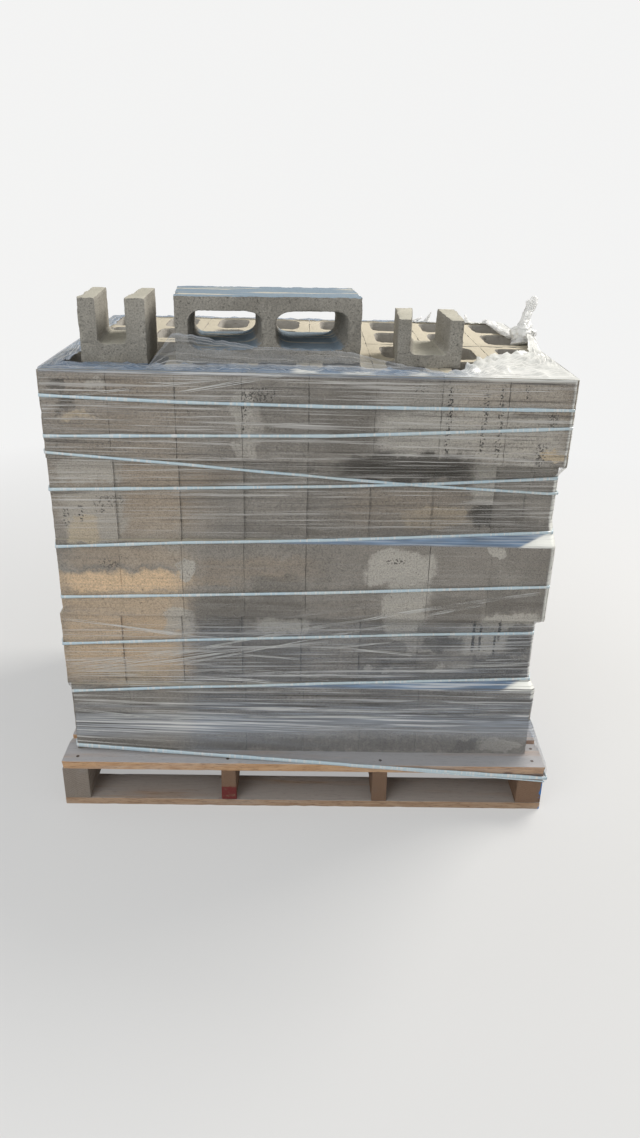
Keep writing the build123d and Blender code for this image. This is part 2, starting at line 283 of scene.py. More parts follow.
SPECK_COLUMNS = [(-0.142, 1.001, 0.006, 0.048, 0.9), (-0.107, 1.037, 0.032, 0.015, 0.8),
                 (0.294, 0.980, 0.006, 0.081, 1.0), (0.370, 0.985, 0.006, 0.080, 0.9),
                 (0.404, 0.990, 0.006, 0.080, 0.9), (0.454, 1.055, 0.004, 0.017, 0.9),
                 (0.232, 1.054, 0.016, 0.008, 0.6), (0.500, 0.918, 0.012, 0.024, 0.8),
                 (0.517, 0.994, 0.011, 0.015, 0.8), (-0.542, 0.753, 0.007, 0.024, 0.8),
                 (-0.508, 0.762, 0.007, 0.020, 0.9), (-0.465, 0.771, 0.010, 0.011, 0.8),
                 (-0.447, 0.791, 0.033, 0.014, 0.6), (0.198, 0.658, 0.023, 0.007, 0.8),
                 (-0.455, 0.644, 0.022, 0.011, 0.7)]
SCORES = [(0.409, 0.449, 0.0035, 0.040, 0.85), (0.427, 0.444, 0.0025, 0.035, 0.8),
          (0.463, 0.430, 0.0030, 0.032, 0.85), (0.472, 0.464, 0.0030, 0.025, 0.8),
          (0.503, 0.882, 0.0020, 0.018, 0.9), (0.511, 0.852, 0.0020, 0.016, 0.9),
          (0.503, 0.825, 0.0022, 0.013, 0.9), (0.496, 0.787, 0.0020, 0.030, 0.9)]
BLOCK_W, BLOCK_L, BLOCK_H = 0.140, 0.390, 0.190
COLUMNS, ROWS, COURSES = 8, 2, 5
SIDE_GAP, ROW_GAP = 0.0015, 0.005
DECK_Z = 0.130
TOP_Z = DECK_Z + COURSES * BLOCK_H
BEHIND_FACES, STAIN_SPILL, CORES_X, CORES_Y = -0.335, 0.02, 0.558, 0.368


def block_material(name, dark, light, bloom_colour, bloom_share, pit_share, top, stained=None,
                   painted_sun_streaks=False):
    """Grey block concrete: its lime bloom; on top dust and painted sunlight, and where streaks are asked for
    painted sky light with sun streaks instead; painted light on the top course's core walls; and, between two
    heights, the front's stains.
    """
    material, tree, add, shader = new_material(name)
    grain = add("ShaderNodeGroup", node_tree=concrete_grain)
    grain.inputs["Pit Share"].default_value = pit_share
    grain = grain.outputs
    tone = mark_of(add, "tone")
    colour = colour_ramp(add, grain["Mottle"], [(0.34, dark), (0.66, light)])
    block_tone = add("ShaderNodeMapRange", {"Value": tone, "To Min": 0.90, "To Max": 1.07}).outputs[0]
    colour = mix_colour(add, 1.0, colour, block_tone, "MULTIPLY")
    colour = mix_colour(add, times(add, grain["Bloom"], bloom_share), colour, bloom_colour)
    if stained:
        place = object_place(add)
        wander = noise_node(add, place, 22, 5, 0.65, out="Color")
        wander = vector_node(add, "SUBTRACT", wander, (0.5, 0.5, 0.5))
        wander = add("ShaderNodeVectorMath", {0: wander, "Scale": 0.075}, operation="SCALE").outputs[0]
        where = vector_node(add, "ADD", place, wander)
        front = ramp_between(add, parts_of(add, place)[1], BEHIND_FACES, BEHIND_FACES - 0.005)

        def masks(spots, spot_at, edge):
            total = 0.0
            for x, z, half_x, half_z, share in spots:
                if z + half_z < stained[0] - STAIN_SPILL or z - half_z > stained[1] + STAIN_SPILL:
                    continue
                stain = add("ShaderNodeGroup", {}, node_tree=stain_shape)
                for title, value in (("Where", spot_at), ("Front", front)):
                    tree.links.new(value, stain.inputs[title])
                stain.inputs["Middle"].default_value = (x, 0, z)
                stain.inputs["Half Width"].default_value = half_x
                stain.inputs["Half Height"].default_value = half_z
                stain.inputs["Edge"].default_value = edge
                total = most(add, total, times(add, stain.outputs[0], share))
            return total

        colour = mix_colour(add, masks(TAN_STAINS, where, 0.45), colour, (0.34, 0.26, 0.18))
        colour = mix_colour(add, masks(PEACH_STAINS, where, 0.35), colour, (0.72, 0.53, 0.34))
        colour = mix_colour(add, masks(PALE_STAINS, where, 0.14), colour, (0.51, 0.485, 0.435))
        colour = mix_colour(add, masks(CREAM_STAINS, where, 0.16), colour, (0.56, 0.46, 0.32))
        colour = mix_colour(add, masks(DAMP_STAINS, where, 0.22), colour, (0.062, 0.056, 0.047))
        flecks = noise_node(add, place, 210, 1)
        flecks = times(add, ramp_between(add, flecks, 0.52, 0.60), masks(SPECK_COLUMNS, place, 0.12))
        ragged = noise_node(add, place, 130, 2, out="Color")
        ragged = add("ShaderNodeVectorMath", {0: ragged, "Scale": 0.008}, operation="SCALE").outputs[0]
        ragged = vector_node(add, "ADD", place, ragged)
        flecks = most(add, flecks, masks(SCORES, ragged, 0.12))
        colour = mix_colour(add, flecks, colour, (0.03, 0.028, 0.025))
    speck = colour_ramp(add, grain["Grain"], [(0.30, (0.5, 0.5, 0.5)), (0.5, (1, 1, 1)),
                                              (0.72, (1.35, 1.33, 1.28))])
    colour = mix_colour(add, 0.8, colour, speck, "MULTIPLY")
    facing = parts_of(add, add("ShaderNodeNewGeometry").outputs["Normal"])[2]
    # Painted light: the upright walls inside the top course's cores are painted paler, as if sky light
    # reached down into them.
    upright_walls_lit = times(add, ramp_between(add, facing, 0.5, 0.3), 0.30)
    if stained and stained[1] > TOP_Z - 0.001:
        spot = parts_of(add, place)
        painted_light_in_cores = times(add, ramp_between(add, spot[1], -CORES_Y - 0.004, -CORES_Y),
                       ramp_between(add, math_node(add, "ABSOLUTE", spot[0]), CORES_X + 0.004, CORES_X))
        colour = mix_colour(add, times(add, times(add, upright_walls_lit, 2.4), painted_light_in_cores), colour, (0.50, 0.48, 0.44))
    # Dust and painted sunlight: faces that look up take the top colour, paler than the concrete as if the sun
    # fell on them.
    top_dust_and_light = times(add, ramp_between(add, facing, 0.6, 0.95), top[3])
    top_dust_and_light_colour = top[:3]
    # Painted light: the top becomes a bluish painted sky-lit shade, crossed by pale streaks of painted
    # sunlight.
    if painted_sun_streaks:
        long_spot = vector_node(add, "MULTIPLY", object_place(add), (4, 34, 1))
        streaks = noise_node(add, long_spot, 1, 3, 0.5)
        top_dust_and_light_colour = mix_colour(add, ramp_between(add, streaks, 0.54, 0.62), top[:3], (0.56, 0.54, 0.46))
    colour = mix_colour(add, top_dust_and_light, colour, top_dust_and_light_colour)
    colour = mix_colour(add, times(add, grain["Pits"], 0.5), colour, (0.07, 0.064, 0.056))
    finish_surface(add, shader, colour, roughness=0.95, shine=0.2, height=grain["Height"], strength=0.8,
                   depth=0.0016)
    return material


SHELL, END_WEB, CENTRE_WEB, CORE_CORNER = 0.030, 0.028, 0.030, 0.022
CORE_W = BLOCK_W - 2 * SHELL
CORE_L = (BLOCK_L - 2 * END_WEB - CENTRE_WEB) / 2
CORE_AT = (CORE_L + CENTRE_WEB) / 2


def core_ring(at, shrink):
    """Outline of a core at one height, its corners rounded, and opened out beside the middle web."""
    ring = []
    half_w, half_l = CORE_W / 2 - shrink, CORE_L / 2 - shrink
    for corner, (side_x, side_y) in enumerate(((1, 1), (-1, 1), (-1, -1), (1, -1))):
        flare = 0.014 if side_y * at < 0 else 0
        for step in range(7):
            angle = math.radians(90 * (corner + step / 6))
            along = side_y * (half_l - CORE_CORNER - flare) + (CORE_CORNER + flare) * math.sin(angle)
            ring.append(Vector((side_x * (half_w - CORE_CORNER) + CORE_CORNER * math.cos(angle), at + along)))
    return ring


def solid_from_rings(ends, low, high):
    """A closed standing prism with drafted holes, from the outlines of its lower and its upper end."""
    mesh = bmesh.new()
    caps = []
    for z, rings in zip((low, high), ends):
        edges = []
        for ring in rings:
            vertices = [mesh.verts.new((p.x, p.y, z)) for p in ring]
            edges += [mesh.edges.new((a, b)) for a, b in zip(vertices, vertices[1:] + vertices[:1])]
        caps.append(edges)
    for lower, upper in zip(*caps):
        mesh.faces.new((*lower.verts, *reversed(upper.verts)))
    for edges in caps:
        bmesh.ops.triangle_fill(mesh, use_beauty=True, edges=edges)
    bmesh.ops.recalc_face_normals(mesh, faces=mesh.faces)
    return mesh


def remeshed(name, mesh, box, voxel, seed, edge_test, depth, keep):
    """Cuts a closed shape into small even faces, squares it to its box, chips its edges and roughens it."""
    data = bpy.data.meshes.new(name)
    mesh.to_mesh(data)
    mesh.free()
    piece = new_piece(name, data)
    remesh = piece.modifiers.new("remesh", "REMESH")
    remesh.mode = "VOXEL"
    remesh.voxel_size = voxel
    fine = settled(piece)
    shift = Vector((seed * 3.7, seed * 1.3, seed * 2.1))
    normals = [v.normal.copy() for v in fine.vertices]
    for vertex, normal in zip(fine.vertices, normals):
        for axis, size in enumerate(box):
            if abs(vertex.co[axis]) > size / 2 - voxel * 0.6:
                vertex.co[axis] = math.copysign(size / 2, vertex.co[axis])
        p = vertex.co
        rough = noise.noise(p * 90 + shift) * 0.0004
        edge = edge_test(p)
        if edge > 0:
            chip = max(0.0, noise.noise(p * 34 + shift) * 0.8 + noise.noise(p * 120 + shift) * 0.5 + 0.08)
            rough -= edge * chip * depth
        vertex.co = p + normal * min(rough, 0.0001)
    piece.data = fine
    thin = piece.modifiers.new("thin", "DECIMATE")
    thin.ratio = keep
    piece.data = settled(piece)
    return piece


def limited(value):
    """A share kept between 0 and 1."""
    return max(0.0, min(1.0, value))


def block_edge(p):
    """How near a point is to an outer edge or a core's rim, from 0 to 1."""
    reach = 0.010
    gaps = sorted((BLOCK_W / 2 - abs(p.x), BLOCK_L / 2 - abs(p.y), BLOCK_H / 2 - abs(p.z)))
    edge = 1 - gaps[1] / reach
    if BLOCK_H / 2 - abs(p.z) < reach:
        rim = abs(max(abs(p.x) - CORE_W / 2, abs(abs(p.y) - CORE_AT) - CORE_L / 2))
        edge = max(edge, 1 - rim / reach)
    return limited(edge)


def whole_block(name, voxel, seed, depth, keep, draft=1.0):
    """One whole worn block about its own middle, its two cores upright and drafted by some degrees."""
    half = BLOCK_W / 2 + 0.0005
    outline = [Vector((x * half, y * BLOCK_L / 2)) for x, y in ((-1, -1), (1, -1), (1, 1), (-1, 1))]
    narrowed = BLOCK_H * math.tan(math.radians(draft))
    shape = solid_from_rings([[outline, core_ring(-CORE_AT, shrink), core_ring(CORE_AT, shrink)]
                              for shrink in (narrowed, 0)], -BLOCK_H / 2, BLOCK_H / 2)
    return remeshed(name, shape, (2 * half, BLOCK_L, BLOCK_H), voxel=voxel, seed=seed,
                    edge_test=block_edge, depth=depth, keep=keep)


def block_set(name, count, voxel, keep, depth):
    """A hidden collection of differently worn blocks."""
    blocks = bpy.data.collections.new(name)
    for index in range(count):
        block = whole_block(f"{name}_{index}", voxel=voxel, seed=index + 1, depth=depth, keep=keep)
        bpy.context.scene.collection.objects.unlink(block)
        blocks.objects.link(block)
    return blocks


def new_geometry(name, takes):
    """An empty Geometry Nodes tree with named inputs."""
    tree = bpy.data.node_groups.new(name, "GeometryNodeTree")
    tree.interface.new_socket("Geometry", in_out="INPUT", socket_type="NodeSocketGeometry")
    for title, kind, value in takes:
        socket = tree.interface.new_socket(title, in_out="INPUT", socket_type="NodeSocket" + kind)
        socket.default_value = value
    tree.interface.new_socket("Material", in_out="INPUT", socket_type="NodeSocketMaterial")
    tree.interface.new_socket("Geometry", in_out="OUTPUT", socket_type="NodeSocketGeometry")
    add = node_maker(tree)
    return tree, add, add("NodeGroupInput").outputs, add("NodeGroupOutput").inputs


def finish_geometry(add, instances, material, out):
    """Turns instances into one mesh of one material, as the tree's result."""
    solid = add("GeometryNodeRealizeInstances", {"Geometry": instances})
    painted = add("GeometryNodeSetMaterial", {"Geometry": solid.outputs[0], "Material": material})
    out.id_data.links.new(painted.outputs[0], out)


def course_tree(name, blocks):
    """Lays a course: a grid of points, a block on each, some turned end for end, all a touch out of true."""
    tree, add, given, out = new_geometry(name, (
        ("Columns", "Int", COLUMNS), ("Rows", "Int", ROWS), ("Column Pitch", "Float", BLOCK_W + SIDE_GAP),
        ("Row Pitch", "Float", BLOCK_L + ROW_GAP), ("Step Back", "Float", 0.0),
        ("Middle", "Vector", (0, 0, 0)), ("Seed", "Int", 1)))
    width = times(add, minus(add, given["Columns"], 1), given["Column Pitch"])
    depth = times(add, minus(add, given["Rows"], 1), given["Row Pitch"])
    grid = add("GeometryNodeMeshGrid", {"Size X": width, "Size Y": depth, "Vertices X": given["Columns"],
                                        "Vertices Y": given["Rows"]})
    pick = add("GeometryNodeCollectionInfo", {"Separate Children": True, "Reset Children": True})
    pick.inputs["Collection"].default_value = blocks

    def chance(kind, low, high, shift):
        node = add("FunctionNodeRandomValue", data_type=kind)
        at = ("FLOAT_VECTOR", "FLOAT", "INT").index(kind)
        node.inputs[2 * at].default_value = low
        node.inputs[2 * at + 1].default_value = high
        tree.links.new(plus(add, given["Seed"], shift), node.inputs["Seed"])
        return node.outputs[at]

    turn = add("ShaderNodeCombineXYZ", {"Z": times(add, chance("INT", 0, 1, 40), math.pi)})
    laid = add("GeometryNodeInstanceOnPoints", {"Points": grid.outputs["Mesh"],
                                                "Instance": pick.outputs[0], "Pick Instance": True,
                                                "Instance Index": chance("INT", 0, 3, 0),
                                                "Rotation": turn.outputs[0]})
    moved = add("GeometryNodeTranslateInstances", {"Instances": laid.outputs[0], "Local Space": False,
                                                   "Translation": chance("FLOAT_VECTOR",
                                                                         (-0.0003, -0.0008, 0),
                                                                         (0.0003, 0.0008, 0), 80)})
    toned = add("GeometryNodeStoreNamedAttribute", {"Geometry": moved.outputs[0], "Name": "tone"},
                data_type="FLOAT", domain="INSTANCE")
    value = next(socket for socket in toned.inputs if socket.name == "Value" and socket.enabled)
    tree.links.new(chance("FLOAT", 0, 1, 120), value)
    across = parts_of(add, add("GeometryNodeInputPosition").outputs[0])[0]
    back = times(add, math_node(add, "DIVIDE", across, given["Column Pitch"]), given["Step Back"])
    skewed = add("GeometryNodeTranslateInstances", {"Instances": toned.outputs[0], "Local Space": False,
                                                    "Translation": add("ShaderNodeCombineXYZ",
                                                                       {"Y": back}).outputs[0]})
    placed = add("GeometryNodeTranslateInstances", {"Instances": skewed.outputs[0],
                                                    "Translation": given["Middle"], "Local Space": False})
    finish_geometry(add, placed.outputs[0], given["Material"], out[0])
    return tree


def grown(name, base, tree, inputs):
    """Runs a Geometry Nodes tree once over a base mesh and keeps its result as a plain mesh."""
    piece = new_piece(name, base)
    modifier = piece.modifiers.new("lay", "NODES")
    modifier.node_group = tree
    for socket in tree.interface.items_tree:
        if socket.in_out == "INPUT" and socket.name in inputs:
            modifier[socket.identifier] = inputs[socket.name]
    piece.data = settled(piece)
    return piece


LOAD_X, LOAD_FRONT = -0.0055, -0.391
LOAD_D = ROWS * BLOCK_L + ROW_GAP
LOAD_W = COLUMNS * BLOCK_W + (COLUMNS - 1) * SIDE_GAP
COURSE_SHIFT = [(0, 0), (-0.009, 0.024), (0, 0), (0, 0.029), (0, 0)]
COURSE_STEP = [0, 0.0055, 0, 0.007, 0]
side_blocks = block_set("side_blocks", count=4, voxel=0.0040, keep=0.10, depth=0.0016)
top_blocks = block_set("top_blocks", count=4, voxel=0.0040, keep=0.14, depth=0.0030)
lay_side_course = course_tree("lay_side_course", side_blocks)
lay_top_course = course_tree("lay_top_course", top_blocks)
for level, (shift_x, shift_y) in enumerate(COURSE_SHIFT):
    foot_z = DECK_Z + level * BLOCK_H
    middle = (LOAD_X + shift_x, LOAD_FRONT + LOAD_D / 2 + shift_y, foot_z + BLOCK_H / 2)
    # The top colour is dust with painted sunlight on the faces that look up.
    block_concrete = block_material(f"block_concrete_{level + 1}", dark=(0.222, 0.203, 0.178),
                                    light=(0.297, 0.275, 0.243), bloom_colour=(0.42, 0.395, 0.35),
                                    bloom_share=0.35, pit_share=0.33, top=(0.62, 0.565, 0.44, 0.75),
                                    stained=(foot_z, foot_z + BLOCK_H))
    laying = lay_top_course if level == COURSES - 1 else lay_side_course
    course = grown(f"blocks_{level + 1}", bpy.data.meshes.new("blocks"), laying,
                   {"Middle": middle, "Seed": 11 + level * 7, "Step Back": COURSE_STEP[level],
                    "Material": block_concrete})
    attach(course, "root")
    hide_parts(f"course_{level + 1}")

# The three loose pieces: a whole block laid on its long side, and two short U-shaped
# cuts of the same concrete, sawn through a core, all set down on the top course.
# The top colour is dust with painted sunlight on the faces that look up.
loose_concrete = block_material("loose_concrete", dark=(0.285, 0.270, 0.235), light=(0.385, 0.366, 0.325),
                                bloom_colour=(0.52, 0.50, 0.44), bloom_share=0.35, pit_share=0.355,
                                top=(0.62, 0.60, 0.50, 0.5))
# The whole loose block's top: a bluish painted sky-lit shade with pale streaks of painted sunlight.
sky_and_sun_painted_concrete = block_material("sky_and_sun_painted_concrete", dark=(0.265, 0.250, 0.218),
                                   light=(0.36, 0.342, 0.303), bloom_colour=(0.50, 0.48, 0.43),
                                   bloom_share=0.35, pit_share=0.355, top=(0.21, 0.285, 0.36, 0.85),
                                   painted_sun_streaks=True)


def placed(piece, name, node, material, axes, place, turn):
    """Stands a loose piece in its place: its own axes laid along the load's, turned, and moved."""
    piece.data.transform(Matrix.Translation(place) @ Matrix.Rotation(math.radians(turn), 4, "Z")
                         @ axes.to_4x4())
    piece.name = name
    piece.data.materials.clear()
    piece.data.materials.append(material)
    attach(piece, "root")
    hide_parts(node)


on_its_side = Matrix(((0, -1.04, 0), (0, 0, -1), (1, 0, 0)))
placed(whole_block("loose_whole_block", voxel=0.0036, seed=9, depth=0.006, keep=0.30, draft=2.6),
       "whole_loose_block", "loose_block", material=sky_and_sun_painted_concrete, axes=on_its_side,
       place=(-0.1025, LOAD_FRONT + 0.211, TOP_Z + BLOCK_W / 2), turn=5.0)


def blend(a, b, share):
    """A point or number part of the way from one to another."""
    return a + (b - a) * share


def u_cut(name, node, height, base, front_arms, back_arms, place, turn, seed):
    """A short U-shaped cut with a drafted slot, from its arms' widths at the front and at the back."""
    half, rise = BLOCK_W / 2, height / 2
    fillet = 0.008
    floor_at = -rise + base

    def outline(arms):
        left, right = -half + arms[0], half - arms[1]
        return [Vector(p) for p in ((-half, -rise), (half, -rise), (half, rise), (right, rise),
                                    (right, floor_at + fillet), (right - fillet, floor_at),
                                    (left + fillet, floor_at), (left, floor_at + fillet), (left, rise),
                                    (-half, rise))]

    def near_edge(p):
        share = 0.5 - p.z / BLOCK_H
        left, right = (blend(a, b, share) for a, b in ((-half + front_arms[0], -half + back_arms[0]),
                                                       (half - front_arms[1], half - back_arms[1])))
        tops = [abs(p.x - x) for x in (-half, left, right, half)]
        corner = math.hypot(min(tops), rise - p.y)
        side = min(tops + [rise - p.y, rise + p.y, abs(p.y - floor_at)])
        return limited(max(1 - corner / 0.007, 1 - max(side, BLOCK_H / 2 - abs(p.z)) / 0.006))

    shape = solid_from_rings([[outline(back_arms)], [outline(front_arms)]], -BLOCK_H / 2, BLOCK_H / 2)
    piece = remeshed(name, shape, (BLOCK_W, height, BLOCK_H), voxel=0.0034, seed=seed, edge_test=near_edge,
                     depth=0.004, keep=0.35)
    facing = Matrix(((1, 0, 0), (0, 0, -1), (0, 1, 0)))
    placed(piece, name, node, material=loose_concrete, axes=facing,
           place=(place[0], place[1], TOP_Z + rise), turn=turn)


u_cut("tall_u_cut", "u_block_left", height=0.137, base=0.043, front_arms=(0.038, 0.043),
      back_arms=(0.031, 0.031), place=(-0.427, LOAD_FRONT + 0.164), turn=2.5, seed=21)
u_cut("low_u_cut", "u_block_right", height=0.102, base=0.028, front_arms=(0.028, 0.029),
      back_arms=(0.042, 0.042), place=(0.260, LOAD_FRONT + 0.197), turn=-2.3, seed=33)

# The pallet: sawn softwood deck boards and ground boards nailed across four runners,
# weathered grey on the faces that lie open, still orange on the sawn edges, with a
# dab of red paint on one runner's end and blue paint along the right side.
def grain_of_wood():
    """Sawn softwood: growth rings, fibres, knots and the bump of them, stretched the way the board runs."""
    tree, add, given, out = new_group("sawn_grain", [("Stretch", "Vector", (1, 12, 12))],
                                      [(name, "Float") for name in ("Rings", "Fibre", "Knots", "Blotch",
                                                                    "Height")])
    place = object_place(add)
    board = vector_node(add, "MULTIPLY", place, given["Stretch"])
    bend = noise_node(add, board, 1.6, 3)
    rings = plus(add, times(add, math_node(add, "SINE", times(add, bend, 75.0)), 0.5), 0.5)
    fibre = noise_node(add, board, 42, 4, 0.7)
    blotch = noise_node(add, board, 2.2, 4, 0.6)
    squeezed = vector_node(add, "MULTIPLY", board, (2.2, 0.45, 0.45))
    knots = add("ShaderNodeTexVoronoi", {"Vector": squeezed, "Scale": 2.4}).outputs["Distance"]
    knots = ramp_between(add, knots, 0.11, 0.05)
    height = plus(add, times(add, fibre, 0.8), times(add, rings, 0.25))
    for name, value in (("Rings", rings), ("Fibre", fibre), ("Knots", knots), ("Blotch", blotch),
                        ("Height", height)):
        tree.links.new(value, out[name])
    return tree


wood_grain = grain_of_wood()


def wood_material(name, stretch, pale, deep, grey):
    """Sawn wood of one run, greyed where it faces up, with the paint marks at their places."""
    material, tree, add, shader = new_material(name)
    grain = add("ShaderNodeGroup", node_tree=wood_grain)
    grain.inputs["Stretch"].default_value = stretch
    grain = grain.outputs
    place = object_place(add)
    parts = parts_of(add, place)
    facing = parts_of(add, add("ShaderNodeNewGeometry").outputs["Normal"])
    tone = mark_of(add, "tone")
    end_axis = 1 if stretch[1] == 1 else 0
    folded = math_node(add, "PINGPONG", parts[0], 0.13)
    heart = plus(add, parts[2], 0.03)
    radius = math_node(add, "SQRT", plus(add, times(add, folded, folded), times(add, heart, heart)))
    wavy = times(add, noise_node(add, place, 18), 5.0)
    arcs = math_node(add, "SINE", plus(add, times(add, radius, 1250.0), wavy))
    arcs = plus(add, times(add, arcs, 0.5), 0.5)
    sawn_end = ramp_between(add, math_node(add, "ABSOLUTE", facing[end_axis]), 0.7, 0.85)
    rings = mix_colour(add, sawn_end, grain["Rings"], arcs)
    colour = mix_colour(add, times(add, rings, 0.55), pale, deep)
    colour = mix_colour(add, ramp_between(add, grain["Fibre"], 0.50, 0.72), colour,
                        tuple(0.6 * v for v in deep))
    open_face = ramp_between(add, facing[2], 0.3, 0.8)
    greyed = times(add, open_face, ramp_between(add, grain["Blotch"], 0.20, 0.52))
    greyed = plus(add, greyed, times(add, ramp_between(add, grain["Blotch"], 0.5, 0.7), 0.35), clamp=True)
    colour = mix_colour(add, times(add, greyed, 0.85), colour, grey)
    colour = mix_colour(add, times(add, ramp_between(add, grain["Fibre"], 0.56, 0.70), 0.35), colour,
                        (0.10, 0.075, 0.055))
    colour = mix_colour(add, times(add, grain["Knots"], 0.75), colour, (0.12, 0.055, 0.028))
    board_tone = add("ShaderNodeMapRange", {"Value": tone, "To Min": 0.84, "To Max": 1.12}).outputs[0]
    colour = mix_colour(add, 1.0, colour, board_tone, "MULTIPLY")
    ragged = noise_node(add, place, 45, 4)
    drift = times(add, minus(add, ragged, 0.5), 0.02)
    red = times(add, ramp_between(add, plus(add, parts[2], drift), 0.062, 0.056),
                ramp_between(add, parts[1], -0.435, -0.44))
    off_runner = math_node(add, "ABSOLUTE", plus(add, parts[0], 0.189))
    red = times(add, red, ramp_between(add, off_runner, 0.03, 0.025))
    red = times(add, red, ramp_between(add, parts[2], 0.018, 0.020))
    colour = mix_colour(add, times(add, red, ramp_between(add, ragged, 0.30, 0.45)), colour,
                        (0.15, 0.028, 0.026))
    patchy = noise_node(add, place, 16, 3)
    blue = times(add, ramp_between(add, plus(add, parts[0], drift), 0.5945, 0.5975),
                 ramp_between(add, parts[1], 0.15, -0.05))
    blue = times(add, blue, ramp_between(add, patchy, 0.44, 0.52))
    colour = mix_colour(add, times(add, blue, ramp_between(add, ragged, 0.36, 0.46)), colour,
                        (0.035, 0.20, 0.52))
    finish_surface(add, shader, colour, roughness=0.8, shine=0.3, height=grain["Height"], strength=0.6,
                   depth=0.0012)
    return material


deck_wood = wood_material("deck_wood", stretch=(1, 12, 12), pale=(0.60, 0.385, 0.225),
                          deep=(0.45, 0.25, 0.125), grey=(0.51, 0.53, 0.56))
ground_wood = wood_material("ground_wood", stretch=(1, 12, 12), pale=(0.48, 0.335, 0.225),
                            deep=(0.34, 0.205, 0.12), grey=(0.44, 0.42, 0.40))
runner_wood = wood_material("runner_wood", stretch=(12, 1, 12), pale=(0.235, 0.15, 0.10),
                            deep=(0.15, 0.088, 0.052), grey=(0.17, 0.14, 0.115))
grey_runner_wood = wood_material("grey_runner_wood", stretch=(12, 1, 12), pale=(0.27, 0.235, 0.20),
                                 deep=(0.18, 0.14, 0.11), grey=(0.25, 0.24, 0.225))
EDGE_ROUND = 0.0018
NOISE_SEED = 5
noise.seed_set(NOISE_SEED)


def waver(x, y, z):
    """A smooth chance value at a place, from -1 to 1."""
    return noise.noise(Vector((x, y, z)))


def sawn_piece(node, along, material, seed):
    """One sawn length in its solid's place: edges a little rounded, faces out of flat, ends split."""
    low, high = (Vector(corner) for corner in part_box(node))
    size = high - low
    mesh = bmesh.new()
    bmesh.ops.create_cube(mesh, size=1)
    for vertex in mesh.verts:
        vertex.co = Vector([low[axis] + (vertex.co[axis] + 0.5) * size[axis] for axis in range(3)])
    bmesh.ops.bevel(mesh, geom=mesh.edges[:], offset=EDGE_ROUND, segments=2, affect="EDGES", profile=0.6)
    across = 1 - along
    for axis, step in ((along, 0.02), (across, 0.016)):
        for cut in range(1, int(size[axis] / step)):
            middle = low.copy()
            middle[axis] += cut * size[axis] / int(size[axis] / step)
            facing = Vector((0, 0, 0))
            facing[axis] = 1
            bmesh.ops.bisect_plane(mesh, geom=mesh.verts[:] + mesh.edges[:] + mesh.faces[:], plane_co=middle,
                                   plane_no=facing)
    shift = Vector((seed * 2.3, seed * 1.9, seed * 0.7))
    for vertex in mesh.verts:
        p = vertex.co + shift
        long_wave = p.copy()
        long_wave[along] *= 0.25
        vertex.co += noise.noise_vector(long_wave * 14) * 0.0006
        nick = max(0.0, noise.noise(p * 55) - 0.22) * 0.004
        to_middle = (low + high) / 2 - vertex.co
        to_middle[along] = 0
        rim = min(abs(abs(to_middle[across]) - size[across] / 2), 0.004) / 0.004
        vertex.co[across] += math.copysign(nick * (1 - rim), to_middle[across])
        end = min(vertex.co[along] - low[along], high[along] - vertex.co[along])
        if end < 0.012 and waver(p[across] * 160, seed, p.z * 60) > 0.35:
            vertex.co[along] += math.copysign(0.003, (low + high)[along] / 2 - vertex.co[along])
        vertex.co.z = max(vertex.co.z, 0.0)
    data = bpy.data.meshes.new(node)
    mesh.to_mesh(data)
    mesh.free()
    tone = data.attributes.new("tone", "FLOAT", "POINT")
    tone.data.foreach_set("value", [0.5 + 0.5 * waver(seed * 7.7, 0.3, 0.9)] * len(data.vertices))
    data.materials.append(material)
    piece = new_piece("sawn_" + node, data)
    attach(piece, "root")
    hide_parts(node)


runners = ["stringer_outer_left", "stringer_inner_left", "stringer_inner_right", "stringer_outer_right"]
top_boards = [f"top_board_{index}" for index in range(1, 9)]
ground_boards = [f"bottom_board_{index}" for index in range(1, 6)]
for index, node in enumerate(runners):
    sawn_piece(node, along=1, material=grey_runner_wood if index == 0 else runner_wood, seed=3 + index)
for index, node in enumerate(top_boards + ground_boards):
    sawn_piece(node, along=0, material=deck_wood if node in top_boards else ground_wood, seed=11 + index)

# Nails: flat steel heads driven to just under the face of the boards, two where each
# board crosses a runner, dark and patched with rust.
NAIL_HEAD, NAIL_THICK, NAIL_SET = 0.0042, 0.0012, 0.0004
nail_steel, nail_nodes, nail_add, nail_shader = new_material("nail_steel")
nail_rust = noise_node(nail_add, object_place(nail_add), 300)
nail_rust = colour_ramp(nail_add, nail_rust, [(0.35, (0.06, 0.05, 0.045)), (0.65, (0.17, 0.12, 0.09))])
nail_nodes.links.new(nail_rust, nail_shader.inputs["Base Color"])
nail_shader.inputs["Metallic"].default_value = 0.6
nail_shader.inputs["Roughness"].default_value = 0.55


def nail_tree():
    """Sets a nail head on every point of the base mesh."""
    tree, add, given, out = new_geometry("drive_nails", (("Head Radius", "Float", NAIL_HEAD),
                                                         ("Head Height", "Float", NAIL_THICK)))
    head = add("GeometryNodeMeshCylinder", {"Vertices": 12, "Radius": given["Head Radius"],
                                            "Depth": given["Head Height"]})
    laid = add("GeometryNodeInstanceOnPoints", {"Points": given[0], "Instance": head.outputs["Mesh"]})
    finish_geometry(add, laid.outputs[0], given["Material"], out[0])
    return tree


